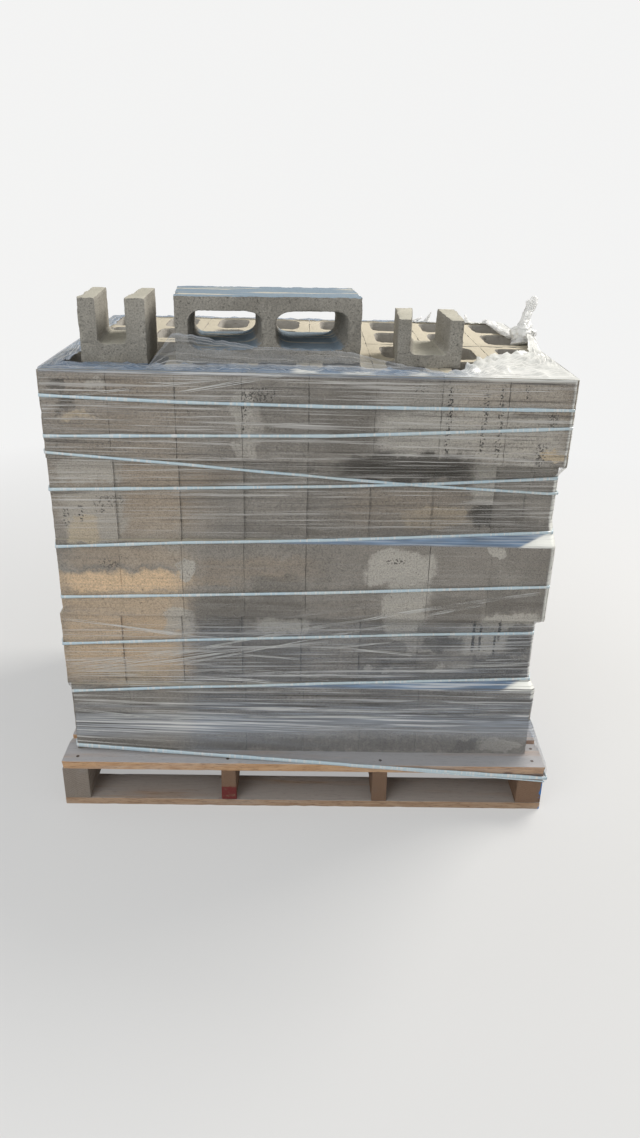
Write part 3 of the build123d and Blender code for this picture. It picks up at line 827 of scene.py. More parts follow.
nail_points = []
for boards, side, faces in ((top_boards, 1, 1), (ground_boards, 0, -1)):
    for board_index, board in enumerate(boards):
        board_low, board_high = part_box(board)
        for runner_index, runner in enumerate(runners):
            runner_low, runner_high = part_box(runner)
            for nail in range(2):
                stray = noise.noise_vector(Vector((board_index * 1.7, runner_index * 2.9, nail * 5.1 + side)))
                x = (runner_low[0] + runner_high[0]) / 2 + stray.x * 0.016
                y = board_low[1] + (board_high[1] - board_low[1]) * (0.25 + 0.5 * nail) + stray.y * 0.012
                z = board_high[2] - NAIL_SET if faces > 0 else board_low[2] + 2 * NAIL_SET
                nail_points.append((x, y, z))
nail_base = bpy.data.meshes.new("nails")
nail_base.from_pydata(nail_points, [], [])
nails = grown("nail_heads", nail_base, nail_tree(), {"Material": nail_steel})
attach(nails, "root")

# The stretch film: many turns of clear film pulled tight round the load and over the
# deck's edge. It bridges the courses that stand back, wrinkles on their ledges and
# round the foot, and clouds where it lies in many layers.
def streaks_of_film():
    """Stretched film: hair-fine drawn lines, broad clouded bands and their bump, along the film's run."""
    tree, add, given, out = new_group("film_streaks", [("Run", "Float", 1.0)],
                                      [(name, "Float") for name in ("Hairs", "Fine", "Broad", "Slanted",
                                                                    "Height")])
    flat = add("ShaderNodeTexCoord").outputs["UV"]
    parts = parts_of(add, flat)
    rise = minus(add, parts[1], times(add, parts[0], 0.17))
    slant = add("ShaderNodeCombineXYZ", {"X": parts[0], "Y": rise}).outputs[0]

    def drawn(across, along, detail, shift, uv=flat):
        scale = add("ShaderNodeCombineXYZ", {"X": times(add, given["Run"], across), "Y": along})
        spot = vector_node(add, "MULTIPLY", uv, scale.outputs[0])
        spot = vector_node(add, "ADD", spot, (shift, shift, shift))
        return noise_node(add, spot, 1, detail, 0.6)
    hairs = drawn(4.5, 460, 2, 0.0)
    fine = drawn(3.2, 190, 3, 7.3)
    broad = drawn(1.6, 32, 4, 3.1)
    slanted = drawn(1.8, 150, 2, 5.7, slant)
    height = plus(add, times(add, fine, 0.6), times(add, broad, 1.6))
    for name, value in (("Hairs", hairs), ("Fine", fine), ("Broad", broad), ("Slanted", slanted),
                        ("Height", height)):
        tree.links.new(value, out[name])
    return tree


film_streaks = streaks_of_film()


def film_material(name, clear, drawn_share, cloud_share, white, blue, dark_share, depth, glow=0.0):
    """Clear film: how much shows where smooth, drawn out or clouded, and its pale and sky-lit colours."""
    material, tree, add, shader = new_material(name)
    streaks = add("ShaderNodeGroup", node_tree=film_streaks).outputs
    haze = mark_of(add, "haze")
    sky = mark_of(add, "sky")
    lined = mark_of(add, "lined")
    slant = mark_of(add, "slant")
    lit = mark_of(add, "lit")
    pale_line = times(add, ramp_between(add, streaks["Fine"], 0.51, 0.64), lined)
    slant_line = times(add, ramp_between(add, streaks["Slanted"], 0.52, 0.60), slant)
    pale_line = most(add, pale_line, slant_line)
    hair_line = times(add, ramp_between(add, streaks["Hairs"], 0.52, 0.66), lined)
    dark_line = times(add, ramp_between(add, streaks["Fine"], 0.47, 0.33), lined)
    cloud = ramp_between(add, streaks["Broad"], 0.48, 0.70)
    alpha = plus(add, times(add, pale_line, drawn_share), times(add, hair_line, drawn_share * 0.75))
    alpha = plus(add, alpha, times(add, cloud, cloud_share))
    alpha = plus(add, alpha, clear)
    alpha = plus(add, alpha, times(add, dark_line, dark_share))
    thick = times(add, haze, plus(add, 0.45, times(add, streaks["Broad"], 0.8)))
    alpha = plus(add, alpha, times(add, lit, 0.4))
    alpha = plus(add, alpha, thick, clamp=True)
    colour = mix_colour(add, sky, white, blue)
    colour = mix_colour(add, times(add, pale_line, 0.7), colour, (0.74, 0.73, 0.70))
    colour = mix_colour(add, lit, colour, (0.86, 0.87, 0.82))
    colour = mix_colour(add, times(add, dark_line, min(1.0, dark_share * 4)), colour, (0.07, 0.065, 0.06))
    tree.links.new(alpha, shader.inputs["Alpha"])
    shader.inputs["Subsurface Weight"].default_value = glow
    shader.inputs["Subsurface Radius"].default_value = (1, 1, 1)
    shader.inputs["Subsurface Scale"].default_value = 0.02
    finish_surface(add, shader, colour, roughness=0.28, shine=0.6, height=streaks["Height"], strength=0.7,
                   depth=depth)
    return material


clear_film = film_material("clear_film", clear=0.06, drawn_share=0.42, cloud_share=0.12,
                           white=(0.54, 0.505, 0.45), blue=(0.17, 0.265, 0.40), dark_share=0.36,
                           depth=0.0012)
FILM_GAP, CORNER = 0.0028, 0.006
LEFT, RIGHT = LOAD_X - LOAD_W / 2, LOAD_X + LOAD_W / 2
FRONT, BACK = LOAD_FRONT, LOAD_FRONT + LOAD_D
SKIRT_Z, HEM_X, HEM_Z = 0.235, 0.115, 0.100
HEM_LEFT_Z, HEM_RIM_Z = DECK_Z + 0.015, DECK_Z + 0.0035
DECK_EDGE_X, DECK_EDGE_Y = 0.6025, 0.4475
FRONT_IN = {1: [(0.322, 0), (0.352, 1), (0.482, 1), (0.511, 0)],
            3: [(0.701, 0), (0.742, 1), (0.855, 1), (0.889, 0)]}
BACK_OUT = {1: [(0.285, 0), (0.318, 1), (0.512, 1), (0.540, 0)],
            3: [(0.655, 0), (0.699, 1), (0.891, 1), (0.930, 0)]}
LEFT_OUT = [(0.309, 0), (0.319, 0.009), (0.511, 0.009), (0.521, 0)]
RIGHT_IN = [(0.321, 0), (0.336, 0.0075), (0.492, 0.0085), (0.511, 0)]


def along_table(table, z):
    """Reads a height table between its entries."""
    if z <= table[0][0]:
        return table[0][1]
    for (z0, v0), (z1, v1) in zip(table, table[1:]):
        if z <= z1:
            return v0 + (v1 - v0) * (z - z0) / (z1 - z0)
    return table[-1][1]


def set_back(x, z, back):
    """How far the film stands back at a place, over the two courses that stand back from their neighbours."""
    total = 0.0
    for level, table in (BACK_OUT if back else FRONT_IN).items():
        slope = COURSE_STEP[level] / (BLOCK_W + SIDE_GAP)
        corner = slope * BLOCK_W / 2
        total += along_table(table, z) * (COURSE_SHIFT[level][1] + slope * (x - LOAD_X)
                                          + (corner if back else -corner))
    return total


def round_load(run, z, out):
    """A point round the load at a height: run 0 to 4 goes along the front, right, back and left sides."""
    side = int(run) % 4
    share = run - int(run)
    x0 = LEFT - along_table(LEFT_OUT, z) - FILM_GAP - out
    x1 = RIGHT - along_table(RIGHT_IN, z) + FILM_GAP + out
    x = (blend(x0 + CORNER, x1 - CORNER, share), x1, blend(x1 - CORNER, x0 + CORNER, share), x0)[side]
    y0 = FRONT + set_back(x, z, False) - FILM_GAP - out
    y1 = BACK + set_back(x, z, True) + FILM_GAP + out
    y = (y0, blend(y0 + CORNER, y1 - CORNER, share), y1, blend(y1 - CORNER, y0 + CORNER, share))[side]
    return Vector((x, y, z))


def round_foot(run, out):
    """A point of the film's lower edge, which runs down from the load's face and over the deck's edge."""
    side = int(run) % 4
    share = run - int(run)
    if side == 3:
        return round_load(run, HEM_LEFT_Z, out)
    if side == 1:
        reach = DECK_EDGE_Y + out
        return Vector((DECK_EDGE_X + out, blend(-reach, reach, share), HEM_Z))
    if side == 2:
        share = 1 - share
    x = blend(LEFT, DECK_EDGE_X + out, share)
    face = FRONT - FILM_GAP - out if side == 0 else BACK + FILM_GAP + out
    edge = -DECK_EDGE_Y - out if side == 0 else DECK_EDGE_Y + out
    if x < HEM_X:
        part = (x - LEFT) / (HEM_X - LEFT)
        return Vector((x, blend(face, edge, part), blend(HEM_LEFT_Z, HEM_RIM_Z, part)))
    part = (x - HEM_X) / (DECK_EDGE_X - HEM_X)
    return Vector((x, edge, blend(HEM_RIM_Z - 0.001, HEM_Z, part)))


def skirt(run, share, out):
    """A point between the load's face and the film's lower edge, kept clear of the deck's rim."""
    top, foot = round_load(run, SKIRT_Z, out), round_foot(run, out)
    rim = foot.copy()
    rim.z = max(foot.z, HEM_RIM_Z)
    if share < 0.85:
        return blend(top, rim, share / 0.85)
    return blend(rim, foot, (share - 0.85) / 0.15)


def film_mesh(name, rows, closed, haze_at, material, capped=False):
    """A sheet through rows of points, its run and height in metres as UV, and its haze as marks."""
    count = len(rows[0])
    points = [p for row in rows for p in row]
    faces = []
    for r in range(len(rows) - 1):
        for c in range(count if closed else count - 1):
            d = (c + 1) % count
            faces.append((r * count + c, r * count + d, (r + 1) * count + d, (r + 1) * count + c))
    sides = len(faces)
    if capped:
        faces += [tuple(reversed(range(count))), tuple(range(len(points) - count, len(points)))]
    data = bpy.data.meshes.new(name)
    data.from_pydata(points, [], faces)
    uv = data.uv_layers.new(name="run")
    runs = []
    for row in rows:
        total = 0.0
        lengths = [0.0]
        for a, b in zip(row, row[1:] + row[:1]):
            total += (b - a).length
            lengths.append(total)
        runs.append(lengths)
    heights = [0.0]
    for lower, upper in zip(rows, rows[1:]):
        heights.append(heights[-1] + (upper[count // 3] - lower[count // 3]).length)
    for face_index, polygon in enumerate(data.polygons[:sides]):
        r, c = divmod(face_index, count if closed else count - 1)
        places = ((runs[r][c], heights[r]), (runs[r][c + 1], heights[r]),
                  (runs[r + 1][c + 1], heights[r + 1]), (runs[r + 1][c], heights[r + 1]))
        for loop, place in zip(polygon.loop_indices, places):
            uv.data[loop].uv = place
    marks = [haze_at(p) for p in points]
    for index, (title, usual) in enumerate((("haze", 0.0), ("sky", 0.0), ("lined", 1.0), ("slant", 0.0),
                                            ("lit", 0.0))):
        mark = data.attributes.new(title, "FLOAT", "POINT")
        mark.data.foreach_set("value", [values[index] if index < len(values) else usual for values in marks])
    data.polygons.foreach_set("use_smooth", [True] * len(data.polygons))
    merged = bmesh.new()
    merged.from_mesh(data)
    bmesh.ops.remove_doubles(merged, verts=merged.verts, dist=1e-6)
    merged.to_mesh(data)
    merged.free()
    data.materials.append(material)
    piece = new_piece(name, data)
    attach(piece, "root")
    return piece


def bump_out(p, spread, amount):
    """A small push out of the film, long along its run and short across it."""
    fine = waver(p.x * 9, p.y * 9, p.z * 130 + spread)
    return waver(p.x * 3.5, p.y * 3.5, p.z * 60) * amount + fine * amount * 0.5


LINED = [(0.13, 1.0), (0.33, 1.0), (0.36, 0.9), (0.47, 0.8), (0.51, 0.45), (0.56, 0.25), (0.69, 0.25),
         (0.74, 0.8), (0.90, 1.0), (1.08, 1.0)]
FOOT_BANDS = [(0.125, 0.0), (0.160, 0.04), (0.176, 0.20), (0.184, 0.72), (0.212, 0.62), (0.232, 0.75),
              (0.246, 0.30), (0.262, 0.40), (0.285, 0.12), (0.300, 0.0)]
CLIMB = [(0.303, 0.3185, 0.330, 0.335, 0.340), (0.4348, 0.443, 0.450, 0.4555, 0.4585),
         (0.5578, 0.567, 0.579, 0.590, 0.603), (0.6838, 0.699, 0.7088, 0.717, 0.7262),
         (0.8203, 0.824, 0.8285, 0.835, 0.849), (0.9395, 0.9455, 0.9517, 0.963, 0.978),
         (1.027, 1.018, 1.0148, 1.0155, 1.017)]
CLIMB_AT = (0.0, 0.256, 0.547, 0.747, 1.0)
LEDGES = ((0, DECK_Z + BLOCK_H), (3, DECK_Z + 3 * BLOCK_H))


def near(value, middle, reach):
    """1 at a middle, falling to 0 at a reach on either side."""
    return max(0.0, 1 - abs(value - middle) / reach)


def over_ledge(p):
    """How far the film clouds over a front ledge, up to the cord above, and how far that is sunlit."""
    clouded, sunlit = 0.0, 0.0
    share = limited((p.x - LEFT) / (RIGHT - LEFT))
    for turn, edge_z in LEDGES:
        cord_z = along_table(list(zip(CLIMB_AT, CLIMB[turn])), share)
        within = limited((p.z - edge_z + 0.002) / 0.003) * limited((cord_z - p.z) / 0.003)
        clouded = max(clouded, within * limited((p.x + 0.27) / 0.15))
        sunlit = max(sunlit, within * limited((p.x - 0.474 - 2.8 * (p.z - edge_z)) / 0.010))
    return clouded * (p.y < 0), sunlit * (p.y < 0)


def sleeve_haze(p):
    """How cloudy, sky-lit, lined, slantwise and sunlit the sleeve is at a place."""
    z = p.z
    clouded, sunlit = over_ledge(p)
    back = (p.y > 0) * max(near(z, 0.30, 0.021), near(z, 0.675, 0.026))
    top = near(z, TOP_Z, 0.008)
    corner = limited(1.5 - max(abs(p.x - RIGHT), abs(p.y - FRONT - set_back(p.x, z, False)))
                     / 0.0065) * (z > 0.30)
    sunlit = max(sunlit, 0.8 * corner, top * limited((p.x - 0.28) / 0.10))
    wave = 0.5 + 0.5 * waver(p.x * 2.2, p.y * 2.2, z * 90)
    off = limited((FRONT - 0.006 - p.y) / 0.02) if z < SKIRT_Z and p.y < 0 else 0.0
    foot = along_table(FOOT_BANDS, z - 0.010 * p.x) * (0.45 + wave) * (1 - 0.75 * off)
    low = limited((0.53 - z) / 0.06) * limited((p.x + 0.34) / 0.08)
    slant = 0.5 * near(z, 0.50 + 0.10 * p.x, 0.085) * max(0.3, min(1.0, 1.3 - abs(p.x + 0.1) * 2))
    slant = max(slant, 0.6 * near(z, 1.04, 0.03) * near(p.x, -0.20, 0.20)) * (p.y < 0)
    ripple = 0.75 + 0.5 * waver(p.x * 14, 3.0, z * 220)
    return (min(1.0, max(clouded * ripple, back * 0.6, top * 0.8, foot, sunlit, low * 0.10)),
            max(clouded, back, top, 0.40 * min(1.0, foot * 2), 0.12 + 0.45 * low) * (1 - sunlit),
            along_table(LINED, z) * (1 - off), slant, sunlit)


RUN_STEPS = ((0, 120), (1, 62), (2, 84), (3, 44))
SKIRT_ROWS, FACE_ROWS = 9, 104
runs = sorted([side + step / count for side, count in RUN_STEPS for step in range(count)]
              + [0.9945, 0.998, 1.004])
rows = []
for step in range(SKIRT_ROWS):
    share = 1 - step / SKIRT_ROWS
    row = []
    for run in runs:
        p = skirt(run, share, 0)
        row.append(p + (round_load(run, 0.3, 1) - round_load(run, 0.3, 0)).normalized()
                   * max(0, bump_out(p, 3, 0.002)))
    rows.append(row)
heights = [SKIRT_Z + (TOP_Z + 0.0012 - SKIRT_Z) * step / FACE_ROWS for step in range(FACE_ROWS + 1)]
heights = sorted(heights + [edge_z - 0.003 + step * 0.0031 for turn, edge_z in LEDGES for step in range(12)])
for z in heights:
    free = 0.0006 + 0.0016 * max(0, 1 - abs(z - 0.34) / 0.03, 1 - abs(z - 0.72) / 0.03,
                                 1 - (z - SKIRT_Z) / 0.08)
    row = []
    for run in runs:
        p = round_load(run, z, 0)
        row.append(p + (round_load(run, z, 1) - p).normalized() * bump_out(p, 0, free))
    rows.append(row)
sleeve = film_mesh("film_sleeve", rows, closed=True, haze_at=sleeve_haze, material=clear_film)
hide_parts("stretch_wrap")

# The film's edges: each turn ends in a rolled-up cord of film, drawn taut round the
# load like a band. One long roll climbs from foot to top, one crosses it below the
# second course from the top, and one holds the lower edge over the deck.
rolled_film = film_material("rolled_film", clear=0.76, drawn_share=0.15, cloud_share=0.10,
                            white=(0.55, 0.63, 0.64), blue=(0.46, 0.61, 0.70), dark_share=0.0, depth=0.0008)
CORD_WIDTH, CORD_DEPTH = 0.0074, 0.0040
CORD_CORNERS, TURN_STEPS, FRONT_STEPS, REST_STEPS, STRAND_STEPS = 8, 260, 90, 150, 60


def cord_haze(p):
    """A cord is evenly clouded and sky-lit in patches."""
    return 0.3, 0.5 + 0.5 * noise.noise(p * 9)


def rolled_cord(name, path, closed, width, depth, seed):
    """A flattened roll of film along a path, pinched and swollen a little on its way."""
    count = len(path)
    rows = []
    for index, p in enumerate(path):
        if closed:
            ahead, behind = path[(index + 1) % count], path[index - 1]
        else:
            ahead, behind = path[min(index + 1, count - 1)], path[max(index - 1, 0)]
        forward = (ahead - behind).normalized()
        outward = forward.cross(Vector((0, 0, 1))).normalized()
        upward = outward.cross(forward)
        swell = 1 + 0.22 * waver(p.x * 16, p.y * 16, seed) + 0.12 * noise.noise(p * 90)
        lean = 0.5 * waver(p.x * 7, p.y * 7, seed + 4)
        row = []
        for corner in range(CORD_CORNERS):
            angle = 2 * math.pi * corner / CORD_CORNERS
            a, b = math.cos(angle) * depth / 2, math.sin(angle) * width / 2 * swell
            row.append(p + outward * (a * math.cos(lean) - b * math.sin(lean) * 0.3) + upward * b)
        rows.append(row)
    if closed:
        rows.append(rows[0])
    turned = [list(reversed(row)) for row in rows]
    return film_mesh(name, turned, closed=True, haze_at=cord_haze, material=rolled_film, capped=not closed)


climb = []
for turn, heights in enumerate(CLIMB):
    for step in range(FRONT_STEPS + 1):
        share = step / FRONT_STEPS
        climb.append(round_load(share * 0.9999, along_table(list(zip(CLIMB_AT, heights)), share),
                                CORD_DEPTH / 2))
    if turn + 1 < len(CLIMB):
        following = CLIMB[turn + 1][0]
        for step in range(1, REST_STEPS):
            share = step / REST_STEPS
            climb.append(round_load(1 + 3 * share, blend(heights[-1], following, share), CORD_DEPTH / 2))
rolled_cord("film_roll_climbing", climb, closed=False, width=CORD_WIDTH, depth=CORD_DEPTH, seed=1)
CROSS = (0.904, 0.812, 0.830, 0.868, 0.904)
CROSS_FRONT = [(0.0, 0.904), (0.26, 0.8825), (0.552, 0.848), (0.735, 0.831), (1.0, 0.812)]
cross = []
for step in range(TURN_STEPS):
    run = 4 * step / TURN_STEPS
    side = int(run)
    z = along_table(CROSS_FRONT, run) if run < 1 else blend(CROSS[side], CROSS[side + 1], run - side)
    cross.append(round_load(run, z, CORD_DEPTH / 2 + 0.001))
rolled_cord("film_roll_crossing", cross, closed=True, width=CORD_WIDTH * 0.9, depth=CORD_DEPTH, seed=2)
hem = [round_foot(4 * step / TURN_STEPS, CORD_DEPTH / 2 + 0.0006) for step in range(TURN_STEPS)]
rolled_cord("film_roll_at_foot", hem, closed=True, width=CORD_WIDTH * 1.45, depth=CORD_DEPTH * 1.1, seed=3)
strand = [round_foot(0.62 + 0.375 * step / STRAND_STEPS, CORD_DEPTH * 0.9)
          - Vector((0, 0, 0.009 * (step / STRAND_STEPS) ** 0.7)) for step in range(STRAND_STEPS + 1)]
rolled_cord("film_strand_at_foot", strand, closed=False, width=CORD_WIDTH * 0.55, depth=CORD_DEPTH * 0.6,
            seed=4)

# Creases: where a turn was drawn at a slant the film gathers into bundles of fine pale
# lines, which fan out over the lower courses and cross the top one.
CREASES = [(4, [(-0.568, 0.360), (-0.327, 0.406), (-0.146, 0.443), (0.055, 0.482)]),
           (4, [(-0.511, 0.362), (-0.328, 0.389), (-0.146, 0.417), (0.053, 0.437)]),
           (3, [(-0.566, 0.379), (-0.435, 0.395), (-0.278, 0.422)]),
           (2, [(-0.329, 0.372), (-0.138, 0.412), (0.008, 0.444)]),
           (4, [(0.007, 0.472), (0.178, 0.521), (0.414, 0.567), (0.539, 0.588)]),
           (3, [(0.008, 0.444), (0.190, 0.480)]), (2, [(0.074, 0.422), (0.205, 0.435)]),
           (3, [(-0.344, 0.401), (-0.179, 0.431)]),
           (3, [(-0.571, 0.500), (-0.421, 0.479), (-0.276, 0.457)]),
           (3, [(-0.460, 0.486), (-0.293, 0.455), (-0.170, 0.445)]),
           (3, [(-0.222, 0.360), (-0.076, 0.352), (0.058, 0.339)]),
           (2, [(-0.159, 0.403), (-0.017, 0.390)]),
           (2, [(-0.363, 0.345), (-0.147, 0.337), (-0.054, 0.329)]),
           (2, [(-0.569, 0.350), (-0.363, 0.349), (-0.222, 0.360)]), (3, [(0.283, 0.525), (0.415, 0.557)]),
           (3, [(0.008, 0.422), (0.109, 0.417), (0.258, 0.399)]), (3, [(0.347, 0.367), (0.549, 0.370)]),
           (2, [(0.440, 0.384), (0.551, 0.388)]), (3, [(-0.353, 1.025), (-0.144, 1.065), (-0.060, 1.078)]),
           (2, [(-0.504, 1.026), (-0.308, 1.055), (-0.072, 1.078)]),
           (3, [(-0.561, 0.249), (-0.351, 0.228), (-0.156, 0.196)]),
           (4, [(-0.563, 0.229), (-0.155, 0.235), (0.187, 0.240), (0.552, 0.252)]),
           (3, [(-0.562, 0.187), (-0.156, 0.200), (0.188, 0.211), (0.550, 0.236)]),
           (2, [(-0.155, 0.256), (0.186, 0.259), (0.424, 0.270)]), (2, [(-0.559, 0.269), (-0.273, 0.266)])]
CREASE_WIDTH, CREASE_STEPS = 0.0014, 40
drawn_film, drawn_tree, drawn_add, drawn_shader = new_material("drawn_film")
drawn_place = vector_node(drawn_add, "MULTIPLY", object_place(drawn_add), (6, 6, 40))
drawn_break = noise_node(drawn_add, drawn_place, 1)
drawn_shader.inputs["Base Color"].default_value = (0.74, 0.75, 0.73, 1)
drawn_shader.inputs["Roughness"].default_value = 0.3
drawn_alpha = times(drawn_add, ramp_between(drawn_add, drawn_break, 0.30, 0.55), 0.62)
drawn_tree.links.new(drawn_alpha, drawn_shader.inputs["Alpha"])


def point_on(path, share):
    """A point part of the way along a path of straight stretches, by their number."""
    at = min(share * (len(path) - 1), len(path) - 1.001)
    return blend(Vector(path[int(at)]), Vector(path[int(at) + 1]), at - int(at))


crease_points, crease_faces = [], []
for index, (strands, path) in enumerate(CREASES):
    for strand in range(strands):
        seed = index * 3.7 + strand * 1.3
        first = len(crease_points)
        for step in range(CREASE_STEPS + 1):
            share = step / CREASE_STEPS
            middle = point_on(path, share)
            ahead = (point_on(path, min(1, share + 0.01)) - point_on(path, max(0, share - 0.01))).normalized()
            across = Vector((-ahead.y, ahead.x))
            spread = (strand - (strands - 1) / 2) * 0.0042 * (0.6 + 0.8 * waver(share * 2.5, seed, 0))
            middle += across * (spread + 0.0008 * waver(share * 5, seed, 5))
            wide = CREASE_WIDTH * (0.25 + 0.75 * math.sin(math.pi * share) ** 0.5)
            for side in (-0.5, 0.5):
                spot = middle + across * wide * side
                crease_points.append((spot.x, FRONT + set_back(spot.x, spot.y, False) - FILM_GAP - 0.0030,
                                      spot.y))
        for step in range(CREASE_STEPS):
            a = first + 2 * step
            crease_faces.append((a, a + 2, a + 3, a + 1))
crease_mesh = bpy.data.meshes.new("film_creases")
crease_mesh.from_pydata(crease_points, [], crease_faces)
crease_mesh.materials.append(drawn_film)
creases = new_piece("film_creases", crease_mesh)
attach(creases, "root")

# Over the top: the last turns stand above the load and are folded in over its edge,
# flat along the front and sides, and crumpled white over the right front corner.
bunched_film = film_material("bunched_film", clear=0.16, drawn_share=0.30, cloud_share=0.22,
                             white=(0.68, 0.69, 0.66), blue=(0.19, 0.29, 0.44), dark_share=0.05,
                             depth=0.0030)
GLINTS = ((-0.015, 0.034), (0.097, 0.040), (0.225, 0.028))
FOLD = [((-0.571, 0), (-0.530, 0.056)), ((-0.450, 0), (-0.448, 0.058)), ((-0.330, 0), (-0.330, 0.060)),
        ((-0.127, 0), (-0.127, 0.062)), ((0.083, 0), (0.083, 0.064)), ((0.185, 0), (0.190, 0.056)),
        ((0.283, 0), (0.286, 0.040)), ((0.330, 0), (0.318, 0.060)), ((0.375, 0), (0.345, 0.120)),
        ((0.440, 0), (0.394, 0.203)), ((0.520, 0), (0.440, 0.257)), ((0.562, -0.001), (0.476, 0.262)),
        ((0.560, 0.130), (0.511, 0.268)), ((0.560, 0.300), (0.529, 0.330)),
        ((0.560, 0.400), (0.540, 0.410)), ((0.560, 0.485), (0.546, 0.485)),
        ((0.560, 0.557), (0.541, 0.557)), ((0.560, 0.660), (0.534, 0.660)),
        ((0.560, 0.785), (0.512, 0.755)), ((0.400, 0.785), (0.400, 0.762)), ((0.0, 0.785), (0.0, 0.760)),
        ((-0.400, 0.785), (-0.400, 0.760)), ((-0.571, 0.785), (-0.538, 0.752)),
        ((-0.571, 0.560), (-0.534, 0.560)), ((-0.571, 0.374), (-0.526, 0.374)),
        ((-0.571, 0.150), (-0.524, 0.150))]


def smooth_between(pairs, per_span):
    """Outer and inner edges of the fold, filled in between their given points."""
    outer, inner = [], []
    for (a, b), (c, d) in zip(pairs, pairs[1:] + pairs[:1]):
        length = (Vector(c) - Vector(a)).length + (Vector(d) - Vector(b)).length
        steps = max(3, int(length / per_span))
        for step in range(steps):
            outer.append(blend(Vector(a), Vector(c), step / steps))
            inner.append(blend(Vector(b), Vector(d), step / steps))
    return outer, inner


def crumple(x, y, seed):
    """Sharp creases of crushed film, from 0 to about 1."""
    total = 0.0
    size, weight = 16.0, 0.55
    for octave in range(4):
        n = waver(x * size + y * size * 0.35, y * size, seed + octave * 3.1)
        total += weight * (1 - min(1.0, abs(n) * 3.2))
        size, weight = size * 2.1, weight * 0.55
    return total


FOLD_ROWS, FOLD_STEP = 14, 0.012
outer, inner = smooth_between(FOLD, FOLD_STEP)
rows = []
for step in range(FOLD_ROWS + 1):
    share = step / FOLD_ROWS
    row = []
    for p, q in zip(outer, inner):
        ragged = q + Vector((waver(q.x * 30, q.y * 30, 1.0), waver(q.x * 30, q.y * 30, 6.0))) * 0.008
        spot = blend(p, ragged, share)
        wide = (q - p).length
        puff = min(1.0, wide / 0.12)
        lift = 0.0015 + crumple(spot.x, spot.y, 2.0) * (0.003 + 0.010 * puff) * min(1.0, share * 4)
        reach = 0.0080 if spot.y < 0.43 else 0.0040
        tail_side = math.exp(-((spot.x - 0.540) ** 2 / 0.0012 + (spot.y - 0.43) ** 2 / reach))
        lift += 0.028 * tail_side * min(1.0, share * 5)
        row.append(Vector((spot.x, spot.y + LOAD_FRONT, TOP_Z + lift)))
    rows.append(row)


def fold_haze(p):
    """The fold is thick and white over the right front corner, thin and sky-lit elsewhere."""
    right = limited((p.x - 0.26) / 0.12)
    crease = crumple(p.x * 1.3, p.y * 1.3, 9.0)
    glint = max(limited(2 * near(p.x, middle, reach)) for middle, reach in GLINTS)
    glint *= near(p.y, LOAD_FRONT + 0.012, 0.02)
    return 0.28 + 0.47 * right + 0.25 * crease + 0.4 * glint, max(0.0, 0.95 - right - glint)


film_mesh("film_fold", rows, closed=True, haze_at=fold_haze, material=bunched_film)

# The lip: loose film that stands up from the front edge and leans on the whole loose
# block, highest at its left and running out to nothing at its right.
LIP_LEFT, LIP_RIGHT, LIP_ROWS, LIP_STEPS = -0.348, 0.283, 12, 110
LIP_TOP = [(LIP_LEFT, 1.0825), (-0.330, 1.106), (-0.300, 1.1455), (-0.282, 1.1450), (-0.127, 1.120),
           (0.083, 1.111), (0.185, 1.095), (LIP_RIGHT, 1.0825)]
LIP_BACK = [(LIP_LEFT, 0.050), (-0.305, 0.086), (-0.282, 0.093), (0.083, 0.104), (0.130, 0.080),
            (LIP_RIGHT, 0.045)]
rows = []
for step in range(LIP_ROWS + 1):
    share = step / LIP_ROWS
    row = []
    for spot in range(LIP_STEPS + 1):
        x = blend(LIP_LEFT, LIP_RIGHT, spot / LIP_STEPS)
        top = along_table(LIP_TOP, x)
        back = along_table(LIP_BACK, x)
        y = blend(0.012, back, share ** 0.7)
        z = blend(TOP_Z + 0.003, top + 0.003 * waver(x * 60, 0, 0), share ** 1.35)
        z += 0.0018 * waver(x * 22, share * 6, 0) * min(1, share * 3)
        row.append(Vector((x, y + LOAD_FRONT - FILM_GAP + 0.002 * waver(x * 18, share * 9, 4), z)))
    rows.append(row)
lip_film = film_material("lip_film", clear=0.07, drawn_share=0.24, cloud_share=0.10,
                         white=(0.70, 0.70, 0.68), blue=(0.50, 0.58, 0.70), dark_share=0.04, depth=0.0025)


def lip_haze(p):
    """The lip is clouded along its foot and its upper hem, and clear between them."""
    hem = max(0.0, 1 - abs(p.z - along_table(LIP_TOP, p.x)) / 0.004)
    foot = max(0.0, 1 - (p.z - TOP_Z) / 0.016)
    return 0.25 * hem + 0.20 * foot, 0.5 + 0.4 * foot


film_mesh("film_lip", rows, closed=False, haze_at=lip_haze, material=lip_film)

# The tail: the film's loose end, gathered to a twisted wisp at the right edge, with
# a crushed ridge of film leading to it from the back edge and small torn wisps.
gathered_film = film_material("gathered_film", clear=0.50, drawn_share=0.30, cloud_share=0.25,
                              white=(0.92, 0.92, 0.88), blue=(0.76, 0.82, 0.88), dark_share=0.0,
                              depth=0.0030, glow=0.8)
SPAN_RINGS, RING_POINTS = 9, 40


def gathered_haze(p):
    """Gathered film is clouded in patches and a little sky-lit."""
    return 0.25 + 0.4 * max(0, noise.noise(p * 60)), 0.15


